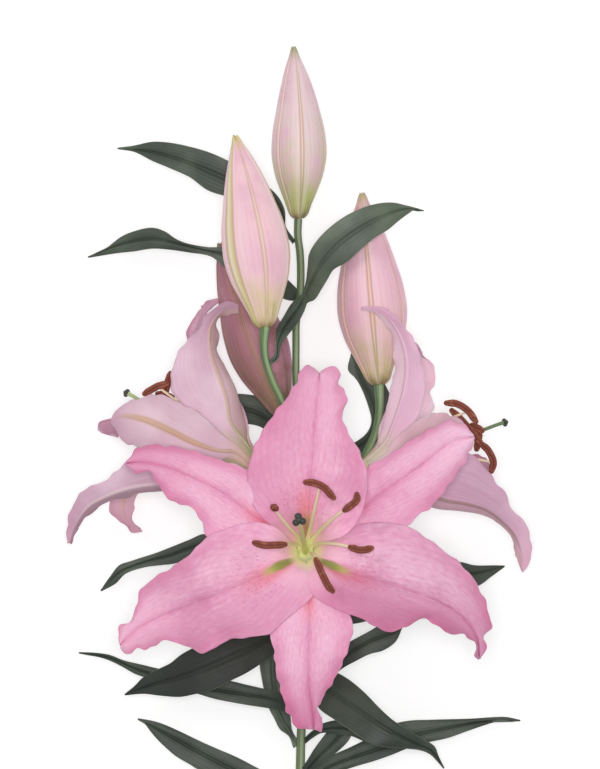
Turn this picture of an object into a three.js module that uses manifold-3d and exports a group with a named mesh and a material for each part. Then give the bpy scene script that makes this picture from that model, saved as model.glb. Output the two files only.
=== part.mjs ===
// A cut lily stem lying on its back: three open flowers, four buds and seventeen leaves on one stem.
// Millimetres, +Z up. The stem runs along +Y from its cut end, and the open side of the middle flower
// faces up. The finished group is moved so that the middle of its bounding box, at the lowest point,
// is the origin.
import * as THREE from 'three';
import Module from 'manifold-3d';

const wasm = await Module();
wasm.setup();
const { Manifold, Mesh: SolidMesh } = wasm;

// Driving dimensions.
const SEAT_GAP = 0.3;            // clearance between a piece and what carries it
const TEPAL_THICKNESS = 0.8;
const LEAF_THICKNESS = 0.9;
const TIP_HALF_WIDTH = 0.4;      // blades end this narrow, never in a point
const LEAF_BASE_HALF_WIDTH = 2.4;
const RECEPTACLE_TOP = 2;        // how far the receptacle stands past a flower's base
// The receptacle that a flower's stalk ends in: [distance past the flower's base, radius].
const RECEPTACLE = [[-9, 3], [-6, 4.4], [-3, 5], [RECEPTACLE_TOP, 5]];
const WHORL_RADIUS = 5.8;        // where the tepals are attached
const OUTER_STEP = 1;            // the outer whorl sits this far outside the inner one
// Half of the angle that a tepal takes where it is attached, for the two whorls.
const MAIN_SPANS = { inner: 40, outer: 34 };
const SIDE_SPANS = { inner: 35, outer: 24 };
const FILAMENT_RADIUS = 0.85;
const ANTHER_RADIUS = 1.9;
const ANTHER_END = 0.75;         // an anther's ends are this part of its radius

// Mesh density.
const TEPAL_ROWS = 12;
const TEPAL_COLUMNS = 6;
const SIDE_TEPAL_ROWS = 10;
const SIDE_TEPAL_COLUMNS = 4;
// Rows stand closer together near the base, by this power of the way along.
const MAIN_ROW_POWER = 1.6;
const SIDE_ROW_POWER = 1.2;
const LEAF_ROWS = 9;
const LEAF_COLUMNS = 2;
const NORMAL_STEP = 0.02;        // how far apart, in u and v, points are compared for a normal

const finish = (color, roughness) => new THREE.MeshStandardMaterial({ color, roughness, metalness: 0 });
const MATERIALS = {
  stem: () => finish('#7d9a4e', 0.55),
  leaf: () => finish('#3f4a3f', 0.5),
  petal: () => finish('#e98fba', 0.6),
  sepal: () => finish('#e496bb', 0.6),
  bud: () => finish('#e0b9c4', 0.55),
  stamen: () => finish('#8a4330', 0.85),
  pistil: () => finish('#a9b565', 0.5),
};

const group = new THREE.Group();
const radians = THREE.MathUtils.degToRad;
const vector = (point) => new THREE.Vector3(...point);
const flat = (point) => new THREE.Vector2(point[0], point[1]);
const curveThrough = (points) => new THREE.CatmullRomCurve3(points, false, 'centripetal');
const smoothstep = (value, low, high) => THREE.MathUtils.smoothstep(value, low, high);

// ---------------------------------------------------------------- closed meshes

// Joins closed rings of equal length into one solid. Each end is closed by a strip that pairs point i
// with its mirror point, which suits both a round section and a thin one.
function loft(rings) {
  const count = rings[0].length;
  const index = [];
  const quad = (a, b, c, d) => index.push(a, b, c, a, c, d);
  for (let row = 0; row < rings.length - 1; row++) {
    for (let i = 0; i < count; i++) {
      const next = (i + 1) % count;
      const here = row * count;
      quad(here + i, here + next, here + count + next, here + count + i);
    }
  }
  const last = (rings.length - 1) * count;
  for (let i = 0; i < count / 2 - 1; i++) {
    const mirror = count - 1 - i;
    quad(i, mirror, mirror - 1, i + 1);
    quad(last + i, last + i + 1, last + mirror - 1, last + mirror);
  }
  const geometry = new THREE.BufferGeometry().setFromPoints(rings.flat());
  geometry.setIndex(index);
  return faceOutward(geometry);
}

// Turns every face over when the mesh is inside out.
function faceOutward(geometry) {
  const place = geometry.attributes.position;
  const index = geometry.index.array;
  const corner = [0, 1, 2].map(() => new THREE.Vector3());
  let volume = 0;
  for (let i = 0; i < index.length; i += 3) {
    corner.forEach((point, k) => point.fromBufferAttribute(place, index[i + k]));
    volume += corner[0].dot(corner[1].cross(corner[2]));
  }
  if (volume < 0) {
    index.reverse();
  }
  return geometry;
}

function toSolid(geometry) {
  const triVerts = new Uint32Array(geometry.index.array);
  const vertProperties = new Float32Array(geometry.attributes.position.array);
  return new Manifold(new SolidMesh({ numProp: 3, vertProperties, triVerts }));
}

function toGeometry(solid) {
  const mesh = solid.getMesh();
  const geometry = new THREE.BufferGeometry();
  geometry.setAttribute('position', new THREE.BufferAttribute(mesh.vertProperties, 3));
  geometry.setIndex(new THREE.BufferAttribute(mesh.triVerts, 1));
  return geometry;
}

// Cuts the seats out of a piece and keeps the largest part of what is left.
function cutClear(geometry, seats) {
  const cut = seats.reduce((solid, seat) => solid.subtract(toSolid(seat)), toSolid(geometry));
  const parts = cut.decompose().sort((a, b) => b.volume() - a.volume());
  return toGeometry(parts[0]);
}

function addNode(name, geometry, material) {
  geometry.computeVertexNormals();
  const mesh = new THREE.Mesh(geometry, MATERIALS[material]());
  mesh.name = name;
  group.add(mesh);
}

// ---------------------------------------------------------------- round pieces

// A tube through points that each carry a radius. lobes makes the section wavy, growing along it.
function tube(stations, { sides = 8, rows = 12, grow = 0, lobes = 0, lobeDepth = 0 } = {}) {
  const path = curveThrough(stations.map(vector));
  const radii = stations.map((station) => station[3]);
  const start = path.getTangent(0);
  const isUpright = Math.abs(start.z) > 0.99;
  const side = isUpright ? new THREE.Vector3(1, 0, 0) : new THREE.Vector3(0, 0, 1).cross(start);
  const rings = [];
  for (let row = 0; row <= rows; row++) {
    const t = row / rows;
    const centre = path.getPoint(t);
    const tangent = path.getTangent(t);
    side.addScaledVector(tangent, -side.dot(tangent)).normalize();
    const up = tangent.clone().cross(side);
    const along = t * (radii.length - 1);
    const before = Math.min(Math.floor(along), radii.length - 2);
    const radius = THREE.MathUtils.lerp(radii[before], radii[before + 1], along - before) + grow;
    if (row === 0) {
      centre.addScaledVector(tangent, -grow);
    }
    if (row === rows) {
      centre.addScaledVector(tangent, grow);
    }
    rings.push(Array.from({ length: sides }, (_, i) => {
      const angle = (2 * Math.PI * i) / sides;
      const reach = radius * (1 + lobeDepth * t * Math.cos(lobes * angle));
      return centre.clone()
        .addScaledVector(side, reach * Math.cos(angle))
        .addScaledVector(up, reach * Math.sin(angle));
    }));
  }
  return loft(rings);
}

// ---------------------------------------------------------------- blades

// A thin blade from three curves that run from base to tip: two edges and the middle. Across the
// blade the section is the parabola through the three. place(point, u) may move a point.
function blade(edgeA, middle, edgeB, { rows, columns, thickness, rowPower = 1, place }) {
  const at = (u, v) => {
    const [a, m, b] = [edgeA, middle, edgeB].map((curve) => curve.getPointAt(v));
    const point = m.clone()
      .addScaledVector(b.clone().sub(a), u / 2)
      .addScaledVector(a.clone().add(b).multiplyScalar(0.5).sub(m), u * u);
    return place ? place(point, u) : point;
  };
  const rings = [];
  for (let row = 0; row <= rows; row++) {
    const v = (row / rows) ** rowPower;
    const front = [];
    const back = [];
    for (let column = 0; column <= columns; column++) {
      const u = (2 * column) / columns - 1;
      const across = at(Math.min(u + NORMAL_STEP, 1), v).sub(at(Math.max(u - NORMAL_STEP, -1), v));
      const along = at(u, Math.min(v + NORMAL_STEP, 1)).sub(at(u, Math.max(v - NORMAL_STEP, 0)));
      const normal = across.cross(along).normalize().multiplyScalar(thickness / 2);
      const point = at(u, v);
      front.push(point.clone().add(normal));
      back.unshift(point.sub(normal));
    }
    rings.push([...front, ...back]);
  }
  return loft(rings);
}

// ---------------------------------------------------------------- stem and stalks

const STEM = [
  [0.5, -200, 2.9, 2.9], [0, -150, 5.5, 2.7], [0.3, -115, 9.5, 2.45], [1.5, -80, 15, 2.4],
  [2, -40, 22, 2.35], [1, 0, 28.5, 2.3], [-1, 40, 32, 2.1], [-2.2, 85, 30, 2], [-2.2, 105, 29, 2],
  [-2, 118, 26, 2], [-0.3, 128, 23, 2.05], [0.4, 142, 21, 2.1], [0, 155, 19, 2.1],
  [-1.2, 165, 17.8, 2.1], [-1, 173.7, 16.6, 2.2],
];

// Each flower: where its tepals are attached and the direction that it opens in.
const FLOWERS = {
  main: { base: [3, -7, 48], axis: [0, 0, 1] },
  left: { base: [-25.5, 39.5, 50], axis: [-0.76, 0.6, -0.25] },
  right: { base: [36.5, 38, 50], axis: [0.88, 0.41, -0.24] },
};

const FLOWER_STALKS = {
  main: [[2, -42, 24, 2.2], [2.5, -28, 27, 2.2], [3, -14, 32, 2.4]],
  left: [[0, 8, 30, 2], [-6, 16, 39, 2], [-13, 26, 47, 2.2]],
  right: [[0, 2, 29, 2], [8, 12, 38, 2], [20, 24, 46, 2.2]],
};

const BUD_STALKS = {
  left: [[-1, 40, 32, 1.9], [-5, 58, 40, 1.9], [-10, 75, 47, 1.9], [-15, 86, 52, 2], [-18.5, 97, 56, 2.1],
    [-19.5, 106, 59, 2.3], [-19, 114.7, 61, 2.8]],
  back: [[-1, 32, 32, 1.9], [-4.5, 48, 27, 1.9], [-8, 60, 21.5, 2.1], [-9.5, 67.7, 19.5, 2.8]],
  right: [[0, 22, 31, 1.9], [16, 30, 31, 1.9], [32, 42, 29, 2], [40, 56, 25, 2], [43, 70, 22, 2.2],
    [42.7, 83.7, 20.6, 2.8]],
};

// Buds from base to tip, with the largest radius and how far the middle bows towards +X. All share one
// profile: [way along, part of the radius].
const BUDS = {
  top: { base: [-0.7, 174, 16.6], tip: [-3.4, 267.5, 15.5], radius: 15.4, bow: 1.5 },
  left: { base: [-19, 115, 61], tip: [-35.3, 219, 56], radius: 18.8, bow: 1.4 },
  back: { base: [-9.5, 68, 19.4], tip: [-44, 161, 17.6], radius: 17.2, bow: 0 },
  right: { base: [42.7, 84, 20.6], tip: [33.6, 188.2, 19.4], radius: 19.4, bow: 0 },
};
const BUD_PROFILE = [
  [0, 0.2], [0.03, 0.36], [0.08, 0.47], [0.16, 0.67], [0.27, 0.9], [0.38, 1], [0.5, 0.95],
  [0.62, 0.8], [0.74, 0.62], [0.84, 0.43], [0.93, 0.22], [1, 0.06],
];
const BUD_SIDES = 12;
const BUD_RIB_DEPTH = 0.03;

function flowerAxes({ base, axis }) {
  const along = vector(axis).normalize();
  const up = new THREE.Vector3(0, 0, 1);
  const front = up.addScaledVector(along, -up.dot(along)).normalize();
  const top = front.clone().cross(along);
  if (top.y < 0) {
    top.negate();
  }
  return { base: vector(base), along, front, top };
}

// A point of a side flower, at an angle round its axis from the side that faces up.
function around({ base, along, front, top }, angle, height, radius) {
  return base.clone()
    .addScaledVector(along, height)
    .addScaledVector(front, radius * Math.cos(angle))
    .addScaledVector(top, radius * Math.sin(angle));
}

// A flower's stalk ends in the receptacle, which points along the flower's axis.
function flowerStalk(name) {
  const base = vector(FLOWERS[name].base);
  const along = vector(FLOWERS[name].axis).normalize();
  const end = RECEPTACLE.map(([height, radius]) => [...base.clone().addScaledVector(along, height), radius]);
  return tube([...FLOWER_STALKS[name], ...end], { sides: 10, rows: 12 });
}

function budStalk(name, grow = 0) {
  return tube(BUD_STALKS[name], { rows: 10, grow });
}

function stemTube(grow = 0) {
  return tube(STEM, { sides: 10, rows: 26, grow });
}

function bud({ base, tip, radius, bow }) {
  const from = vector(base);
  const axis = vector(tip).sub(from);
  const along = axis.clone().normalize();
  const side = new THREE.Vector3(0, 0, 1).cross(along).normalize();
  const up = along.clone().cross(side);
  const rings = BUD_PROFILE.map(([t, part]) => {
    const centre = from.clone().addScaledVector(axis, t).addScaledVector(side, -4 * bow * t * (1 - t));
    return Array.from({ length: BUD_SIDES }, (_, i) => {
      const angle = (2 * Math.PI * i) / BUD_SIDES;
      const reach = radius * part * (1 - BUD_RIB_DEPTH * (1 - Math.cos(3 * angle)));
      return centre.clone()
        .addScaledVector(up, reach * Math.cos(angle))
        .addScaledVector(side, reach * Math.sin(angle));
    });
  });
  return loft(rings);
}

function addStemAndBuds(stemSeat) {
  addNode('stem', stemTube(), 'stem');
  for (const name of Object.keys(FLOWER_STALKS)) {
    addNode(`${name}_flower_stalk`, cutClear(flowerStalk(name), [stemSeat]), 'stem');
  }
  for (const name of Object.keys(BUD_STALKS)) {
    addNode(`${name}_bud_stalk`, cutClear(budStalk(name), [stemSeat]), 'stem');
  }
  for (const [name, shape] of Object.entries(BUDS)) {
    const carrier = name === 'top' ? stemSeat : budStalk(name, SEAT_GAP);
    addNode(`${name}_bud`, cutClear(bud(shape), [carrier]), 'bud');
  }
}

// ---------------------------------------------------------------- middle flower

// The middle flower is a flared funnel seen from inside. Its tepals are drawn in plan, and this gives
// the height of the funnel over any plan point. offset moves the sheet to the back of the funnel.
const LEAN = [-0.02, 0.13];      // how far the funnel's axis leans in x and y for each mm of height
const FUNNEL_DEPTH = 56;
const FUNNEL_THROAT = 5.5;       // radius where the funnel leaves the flower's base
const FUNNEL_FLARE = 10.5;       // radius over which the funnel opens out
const RIM_DROP = 22;             // how far the tips hang below the rim
const RIM_START = 45;
const RIM_REACH = 60;
const TILT = 0.13;               // the whole face tips back towards +Y
const TILT_RADIUS = 50;
const FUNNEL_PASSES = 6;
const FUNNEL_BLEND = 0.8;        // each pass moves the height this far towards its new value

function funnelHeight(x, y, offset) {
  const [baseX, baseY, baseZ] = FLOWERS.main.base;
  let height = 0;
  for (let pass = 0; pass < FUNNEL_PASSES; pass++) {
    const dx = x - baseX - LEAN[0] * height;
    const dy = y - baseY - LEAN[1] * height;
    const radius = Math.hypot(dx, dy) - offset;
    const rise = FUNNEL_DEPTH * (1 - Math.exp(-(radius - FUNNEL_THROAT) / FUNNEL_FLARE));
    const drop = RIM_DROP * (Math.max(0, radius - RIM_START) / RIM_REACH) ** 2;
    const tilt = TILT * dy * Math.min(1, radius / TILT_RADIUS);
    height = THREE.MathUtils.lerp(height, rise - drop - offset - tilt, FUNNEL_BLEND);
  }
  return baseZ + height;
}

// Inner tepals overlap their neighbours one way round: the clockwise edge in front. The twist grows
// past the throat and fades towards the tips.
const TWIST = { most: 1.5, grows: [8, 20], fades: [35, 75], left: 0.4 };

function innerOffset(radius, u) {
  const grow = smoothstep(radius, ...TWIST.grows);
  const fade = THREE.MathUtils.lerp(1, TWIST.left, smoothstep(radius, ...TWIST.fades));
  return -TWIST.most * u * grow * fade;
}

// Outer tepals lie behind the inner ones, further back once they have left the throat.
const OUTER_BACK = { most: 2.2, grows: [6, 16] };

function outerOffset(radius) {
  return OUTER_STEP + OUTER_BACK.most * smoothstep(radius, ...OUTER_BACK.grows);
}

// Plan outlines from the base outwards: the anticlockwise edge, the middle and the clockwise edge.
const MAIN_TEPALS = {
  main_petal_top: {
    angle: 90,
    ccw: [[-8, 3], [-20, 12], [-28, 24], [-28, 37], [-24, 52], [-15, 67], [-5, 80], [0, 90], [4, 95],
      [10, 91]],
    mid: [[4, 8], [5.5, 28], [7, 50], [8.5, 70], [10, 84], [10.5, 90.5]],
    cw: [[13, -1], [24, 3], [32, 12], [36, 25], [36, 38], [31, 50], [25, 60], [23, 69], [26, 77], [21, 84],
      [22, 90], [16, 94], [11, 91]],
  },
  main_petal_right: {
    angle: -30,
    ccw: [[16, 1], [28, 8], [42, 10], [57, 8], [66, 3], [77, -5], [87, -13], [95, -23], [101, -36],
      [103, -47], [100, -51], [100, -59], [97, -64]],
    mid: [[14, -12], [26, -17], [48, -23.5], [70, -31], [86, -40], [95, -52], [96.7, -63.7]],
    cw: [[5, -20], [9, -30], [20, -37], [33, -42], [47, -49], [57, -46.5], [67, -42], [75, -47], [82, -50.5],
      [89, -51], [95, -57], [94, -62], [96.2, -64.5]],
  },
  main_petal_left: {
    angle: 210,
    ccw: [[1, -20], [5, -29], [-1, -37], [-9, -44], [-16, -50], [-28, -52], [-40, -54], [-46, -58],
      [-52, -60.5], [-60, -57.5], [-71, -54], [-79, -56.5], [-83, -59.5], [-88, -58], [-94, -62], [-97, -58]],
    mid: [[-10, -13], [-22, -19], [-45, -29], [-68, -38], [-85, -46], [-97, -56.5]],
    cw: [[-6, 1], [-13, 7], [-24, 10], [-38, 7], [-50, 2], [-58, -6], [-67, -13], [-80, -21], [-86, -27],
      [-89, -38], [-91, -43], [-96, -45], [-98, -52], [-97.6, -55]],
  },
  main_sepal_bottom: {
    angle: 270,
    outer: true,
    cw: [[-7, -22], [-14, -36], [-16, -50], [-14, -60], [-13, -70], [-10, -82], [-6, -94], [-1, -101],
      [6, -101.8]],
    mid: [[4, -22], [5, -40], [4.5, -60], [5, -80], [7, -94], [7.3, -101.8]],
    ccw: [[12, -22], [23, -34], [28.5, -45], [26, -58], [20, -72], [11, -87], [9.5, -92], [12.5, -98],
      [11.5, -103], [8.6, -102]],
  },
  main_sepal_right: {
    angle: 30,
    outer: true,
    ccw: [[10, 12], [20, 28], [34, 38], [48, 46], [60, 54], [72, 61], [82, 64.5], [90, 61], [93.7, 57]],
    mid: [[16, 4], [30, 15], [48, 28], [66, 41], [82, 53], [94, 56]],
    cw: [[20, -2], [38, 3], [57, 7], [63, 13], [70, 17.5], [78, 27], [86, 38], [92, 48], [94.3, 55]],
  },
  main_sepal_left: {
    angle: 150,
    outer: true,
    cw: [[-8, 14], [-18, 30], [-30, 39], [-45, 44], [-58, 48.5], [-72, 51], [-86, 50.5], [-91, 46],
      [-94, 42.5]],
    mid: [[-12, 5], [-26, 14], [-42, 26], [-58, 34], [-74, 40], [-86, 42], [-94.2, 41.5]],
    ccw: [[-16, -4], [-34, -2], [-50, 2], [-53, 10], [-59, 18], [-69, 21], [-76, 29], [-82, 37], [-90, 36.5],
      [-94, 40.5]],
  },
};

function addMainTepals() {
  const base = vector(FLOWERS.main.base);
  for (const [name, { angle, outer, ccw, mid, cw }] of Object.entries(MAIN_TEPALS)) {
    const centre = radians(angle);
    const halfSpan = radians(outer ? MAIN_SPANS.outer : MAIN_SPANS.inner);
    const radius = WHORL_RADIUS + (outer ? OUTER_STEP : 0);
    const edge = (turn, outline) => {
      const start = [base.x + radius * Math.cos(centre + turn), base.y + radius * Math.sin(centre + turn)];
      return curveThrough([start, ...outline].map(([x, y]) => new THREE.Vector3(x, y, 0)));
    };
    const place = (point, u) => {
      const reach = Math.hypot(point.x - base.x, point.y - base.y);
      const offset = outer ? outerOffset(reach) : innerOffset(reach, u);
      point.z = funnelHeight(point.x, point.y, offset);
      return point;
    };
    const shape = blade(edge(halfSpan, ccw), edge(0, mid), edge(-halfSpan, cw), {
      rows: TEPAL_ROWS, columns: TEPAL_COLUMNS, thickness: TEPAL_THICKNESS, rowPower: MAIN_ROW_POWER, place,
    });
    addNode(name, shape, outer ? 'sepal' : 'petal');
  }
}

// ---------------------------------------------------------------- side flowers

// Tepals of the side flowers: the angle round the flower's axis, then the edge on the side of larger
// angle, the middle and the other edge, past the tube that the six tepals form at the base.
const SIDE_TEPALS = {
  left: {
    left_petal_upper: {
      angle: 60,
      more: [[-29, 60, 47.5], [-31, 68, 46.5], [-34.5, 79, 45.5], [-39, 88.5, 44], [-43, 96, 42.5],
        [-45, 102, 42], [-44.2, 109, 42], [-45.8, 116, 43], [-44, 119.8, 44], [-39, 121.4, 44.5],
        [-33, 122.6, 44.5]],
      mid: [[-38, 64, 53], [-40, 75, 54], [-43.5, 86, 54], [-47.5, 96, 52], [-49.5, 105, 49.5],
        [-49, 115, 48], [-44.3, 122.3, 47], [-38.5, 125.6, 46], [-33, 125, 45]],
      less: [[-50, 63, 54.5], [-62, 72, 57], [-69.5, 81, 57], [-69.5, 90, 55], [-66.5, 100, 53.5],
        [-60.5, 108.5, 52], [-55, 114, 50], [-51.5, 120.5, 49], [-44.5, 126.5, 47.5], [-38, 128.9, 47],
        [-33, 127.2, 46]],
    },
    left_petal_lower: {
      angle: -60,
      more: [[-50, 44, 54], [-66, 47, 56], [-80, 47.5, 55.5], [-90, 45.5, 53], [-98, 38.2, 48],
        [-107, 31.3, 43], [-116.5, 27.3, 37], [-123.3, 18, 31], [-127.4, 6, 26], [-126.8, -2, 22]],
      mid: [[-48, 37, 52], [-62, 33, 53], [-76, 31, 52], [-90, 29, 48], [-104, 24.5, 42],
        [-115, 18, 34], [-121.5, 8.5, 27], [-125, -1.6, 22]],
      less: [[-46, 32, 47], [-60, 28.5, 46], [-76, 27, 43], [-89, 25, 40], [-100, 21.8, 37],
        [-108, 18.4, 34], [-114.5, 14, 30], [-119, 8.5, 27], [-121.6, 3, 25], [-123.6, -2.4, 21.5]],
    },
    left_petal_back: {
      angle: 180,
      more: [[-44, 44, 34], [-53, 46, 25], [-66, 50, 14], [-78, 53, 7], [-88, 56, 4.5],
        [-95, 57.5, 4.5], [-98, 56, 7]],
      mid: [[-48, 50, 28], [-64, 56, 14], [-80, 60, 7], [-94, 62, 4.5], [-104, 61.5, 5],
        [-106.5, 59, 7], [-98.5, 56, 9.5]],
      less: [[-46, 58, 26], [-60, 63, 13], [-76, 67, 6], [-95, 67, 4.5], [-103, 65.5, 4.5],
        [-108.8, 63, 5.5], [-107.3, 58, 8], [-98.5, 56.5, 10]],
    },
    left_sepal_front: {
      angle: 0,
      outer: true,
      more: [[-42, 57, 57.5], [-55, 69, 61], [-67, 75, 64], [-80, 79, 64], [-88, 75, 63], [-95, 74, 61],
        [-100, 69, 58.5], [-102, 65, 56.5]],
      mid: [[-45, 48.5, 59], [-58, 53, 63.5], [-72, 60, 68], [-85, 65.5, 70], [-95, 67, 66],
        [-101.5, 64, 58]],
      less: [[-44, 43, 57.5], [-58, 43.5, 60], [-72, 46, 63], [-84, 49, 63], [-93, 52, 61], [-99, 59, 58.5],
        [-101.5, 62.5, 57]],
    },
    left_sepal_low_back: {
      angle: -120,
      outer: true,
      more: [[-48, 31, 41], [-60, 27, 28], [-76, 27, 16], [-88, 25, 8], [-90, 17, 5], [-90.8, 11, 5],
        [-88, 6, 7]],
      mid: [[-47, 35, 36], [-60, 34, 22], [-75, 33, 12], [-88, 30, 6], [-95.5, 21, 4], [-95.5, 13, 4.5],
        [-91, 6.5, 6.5], [-85.8, 5, 7.5]],
      less: [[-46, 40, 28], [-60, 40, 15], [-78, 38, 7], [-93, 34, 4], [-102.5, 23, 3.5],
        [-103.3, 16, 3.5], [-100, 11, 4], [-93.5, 7.5, 6], [-91.5, 3.5, 7.5], [-86, 4.3, 8]],
    },
    left_sepal_high_back: {
      angle: 120,
      outer: true,
      more: [[-37, 56, 31], [-48, 70, 22], [-58, 84, 16], [-62, 98, 14], [-61.7, 107, 14.5],
        [-60, 115.5, 16], [-57, 121, 18], [-54.2, 125.5, 20], [-50.5, 128.8, 23], [-45, 130.8, 26]],
      mid: [[-33, 62, 36], [-40, 72, 27], [-49, 86, 21], [-55, 101, 18], [-56.5, 111, 18],
        [-54.5, 118.5, 20], [-51.8, 124.5, 22], [-49, 127.6, 24], [-44.6, 129.6, 26.5]],
      less: [[-28, 62, 41], [-30.5, 71, 32], [-37, 82, 27], [-44, 94, 23], [-48, 104, 21],
        [-51, 112.5, 21], [-51.8, 118.5, 22], [-49.8, 123.2, 24], [-47.5, 126, 25.5],
        [-44.2, 128.2, 27]],
    },
  },
  right: {
    right_petal_upper: {
      angle: 60,
      more: [[42, 52, 46.5], [45, 63, 46], [47.7, 75.5, 45], [50, 86, 44], [51.2, 97, 43],
        [50, 108, 42.5], [46.5, 116.5, 42.5], [41, 122.2, 43.5], [33.3, 124.4, 44.5]],
      mid: [[47, 54, 53], [52, 66, 54.5], [56, 78, 55.5], [58, 90, 55], [57.5, 101, 53],
        [54, 111.5, 50.5], [49, 119, 48], [42, 124, 46], [33.2, 125.2, 45]],
      less: [[52, 57, 55], [60, 69, 57], [65, 81, 58], [66.2, 91, 57], [64.8, 99.5, 56],
        [60.5, 109.5, 54], [54.5, 118, 51], [48, 123.4, 48.5], [41, 126.4, 46.5], [33.3, 126, 45.5]],
    },
    right_petal_lower: {
      angle: -60,
      more: [[58, 41, 55.5], [72, 46, 57], [84, 49, 57], [93, 46, 55], [101, 38, 51], [107, 30, 47],
        [111.5, 24.5, 43.5], [115.5, 14.5, 40], [119.7, 12.5, 37], [124.3, 3, 32], [126, -5, 28],
        [124.5, -12.5, 25], [121, -17.6, 22.5]],
      mid: [[54, 32, 52], [66, 26, 53], [78, 22, 51.5], [90, 20, 48.5], [100, 17, 44], [109, 11, 38],
        [116.5, 2.5, 32], [120.3, -8, 27], [120.5, -17.4, 22.5]],
      less: [[52, 28, 46], [64, 21.5, 45], [78, 18, 42], [92, 15.8, 39.5], [102, 12.8, 36],
        [108.5, 9.2, 33], [113.5, 4, 30], [116, -3, 28], [117.5, -9.5, 26], [119.8, -16.8, 23]],
    },
    right_petal_back: {
      angle: 180,
      more: [[54, 41, 30], [63, 46, 17], [73, 50, 10.5], [82, 52, 8], [90, 57.4, 7]],
      mid: [[54, 45, 27], [66, 51, 12], [76, 55, 6.5], [84, 58, 5.5], [90, 58, 7]],
      less: [[51, 49, 29], [60, 54, 17], [70, 60, 9], [80, 65, 5.5], [86, 64, 5], [90, 59, 7]],
    },
    right_sepal_front: {
      angle: 0,
      outer: true,
      more: [[50, 53, 57.5], [60, 62, 61], [70, 67.5, 63], [78, 68.5, 63.5], [86, 65, 61.5],
        [91.5, 58, 58]],
      mid: [[54, 46, 59], [66, 53, 63.5], [77, 57.5, 66], [86, 58, 64], [91.5, 57, 58.5]],
      less: [[56, 37.5, 57.5], [68, 40, 60.5], [80, 44, 62.5], [88, 50, 61], [91.5, 55.5, 58]],
    },
    right_sepal_high_back: {
      angle: 120,
      outer: true,
      more: [[48, 54, 32], [57, 61, 23], [67, 66, 16], [73, 71, 12.5], [71, 80, 12], [73.5, 88, 13],
        [71, 96, 15], [66, 99.5, 16.5], [64, 105, 18], [61.5, 107.5, 19]],
      mid: [[45, 58, 37], [51, 70, 27], [58, 82, 20], [63, 92, 17], [65, 100, 17], [61, 107, 19]],
      less: [[43, 61, 40], [49, 74, 32], [55, 86, 27], [58, 96, 24], [60, 103, 21], [60.4, 106, 20]],
    },
    right_sepal_low_back: {
      angle: -120,
      outer: true,
      more: [[57, 28.5, 41], [69, 26, 26], [84, 26, 12], [97, 29, 5.5], [104, 36.5, 5]],
      mid: [[56, 32, 35], [67, 33, 21], [80, 35, 10], [94, 38, 5], [104, 38, 5]],
      less: [[56, 37, 26], [66, 40.5, 14], [75, 43, 6.5], [88, 45, 3.5], [98, 46, 3.5], [104, 39.5, 4.5]],
    },
  },
};
// A side flower's tepals form a tube past the base: how far its ring is from the base, and the ring's
// radius for each whorl.
const TUBE_HEIGHT = 11;
const TUBE_RADII = { inner: 8.5, outer: 10 };

function addSideTepals(flower) {
  const axes = flowerAxes(FLOWERS[flower]);
  for (const [name, { angle, outer, more, mid, less }] of Object.entries(SIDE_TEPALS[flower])) {
    const centre = radians(angle);
    const halfSpan = radians(outer ? SIDE_SPANS.outer : SIDE_SPANS.inner);
    const step = outer ? OUTER_STEP : 0;
    const edge = (turn, outline) => curveThrough([
      around(axes, centre + turn, 0, WHORL_RADIUS + step),
      around(axes, centre + turn, TUBE_HEIGHT, outer ? TUBE_RADII.outer : TUBE_RADII.inner),
      ...outline.map(vector),
    ]);
    const shape = blade(edge(halfSpan, more), edge(0, mid), edge(-halfSpan, less), {
      rows: SIDE_TEPAL_ROWS,
      columns: SIDE_TEPAL_COLUMNS,
      thickness: TEPAL_THICKNESS,
      rowPower: SIDE_ROW_POWER,
    });
    addNode(name, shape, outer ? 'sepal' : 'petal');
  }
}

// ---------------------------------------------------------------- stamens and pistils

const MAIN_STAMENS = [
  { filament: [[3.6, -3.4, 50.3], [5, 6, 80], [8, 18, 103], [10.5, 29, 117]],
    anther: [[3, 31.5, 117], [8, 31, 118], [13, 28.5, 118], [18, 23, 116]] },
  { filament: [[5.9, -4.9, 50.3], [12, 7, 85], [20, 14, 108], [26.5, 18.5, 119]],
    anther: [[24, 16.5, 119], [28, 19.5, 120], [30.5, 22, 120], [30.5, 25, 119]] },
  { filament: [[6.5, -7.6, 50.3], [12, -2, 84], [20, -2, 106], [31, -4.3, 117]],
    anther: [[27, -3.5, 117], [33, -5, 118], [38.5, -4, 117]] },
  { filament: [[4.5, -10.3, 50.3], [7, -8, 80], [8.5, -9, 103], [12, -17, 117]],
    anther: [[8.5, -10, 117], [12, -18, 118], [15, -24, 118], [17.5, -27, 117]] },
  { filament: [[-0.5, -6.1, 50.3], [-3, -2, 80], [-9, -2, 103], [-16, -2.2, 117.6]],
    anther: [[-24.5, -1, 117], [-20, -2.3, 118], [-13, -2.3, 118], [-8, -2, 117]] },
  { filament: [[1.2, -3.9, 50.3], [-6, 5, 85], [-11, 13, 100], [-13.7, 17.3, 110]],
    anther: [[-13, 17, 107], [-14, 18, 115], [-14, 18, 124]] },
];

const MAIN_PISTIL = [
  [3, -7, 50.3, 1.8], [3, -6, 62, 1.9], [2.5, -3, 80, 1], [1, 4, 108, 0.9], [-0.2, 10, 128, 1.1],
  [-0.5, 11.5, 132, 2.4],
];

// A pistil's section is round at the ovary and grows into the three lobes of the stigma.
const PISTIL_SECTION = { sides: 10, rows: 10, lobes: 3, lobeDepth: 0.2 };

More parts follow.
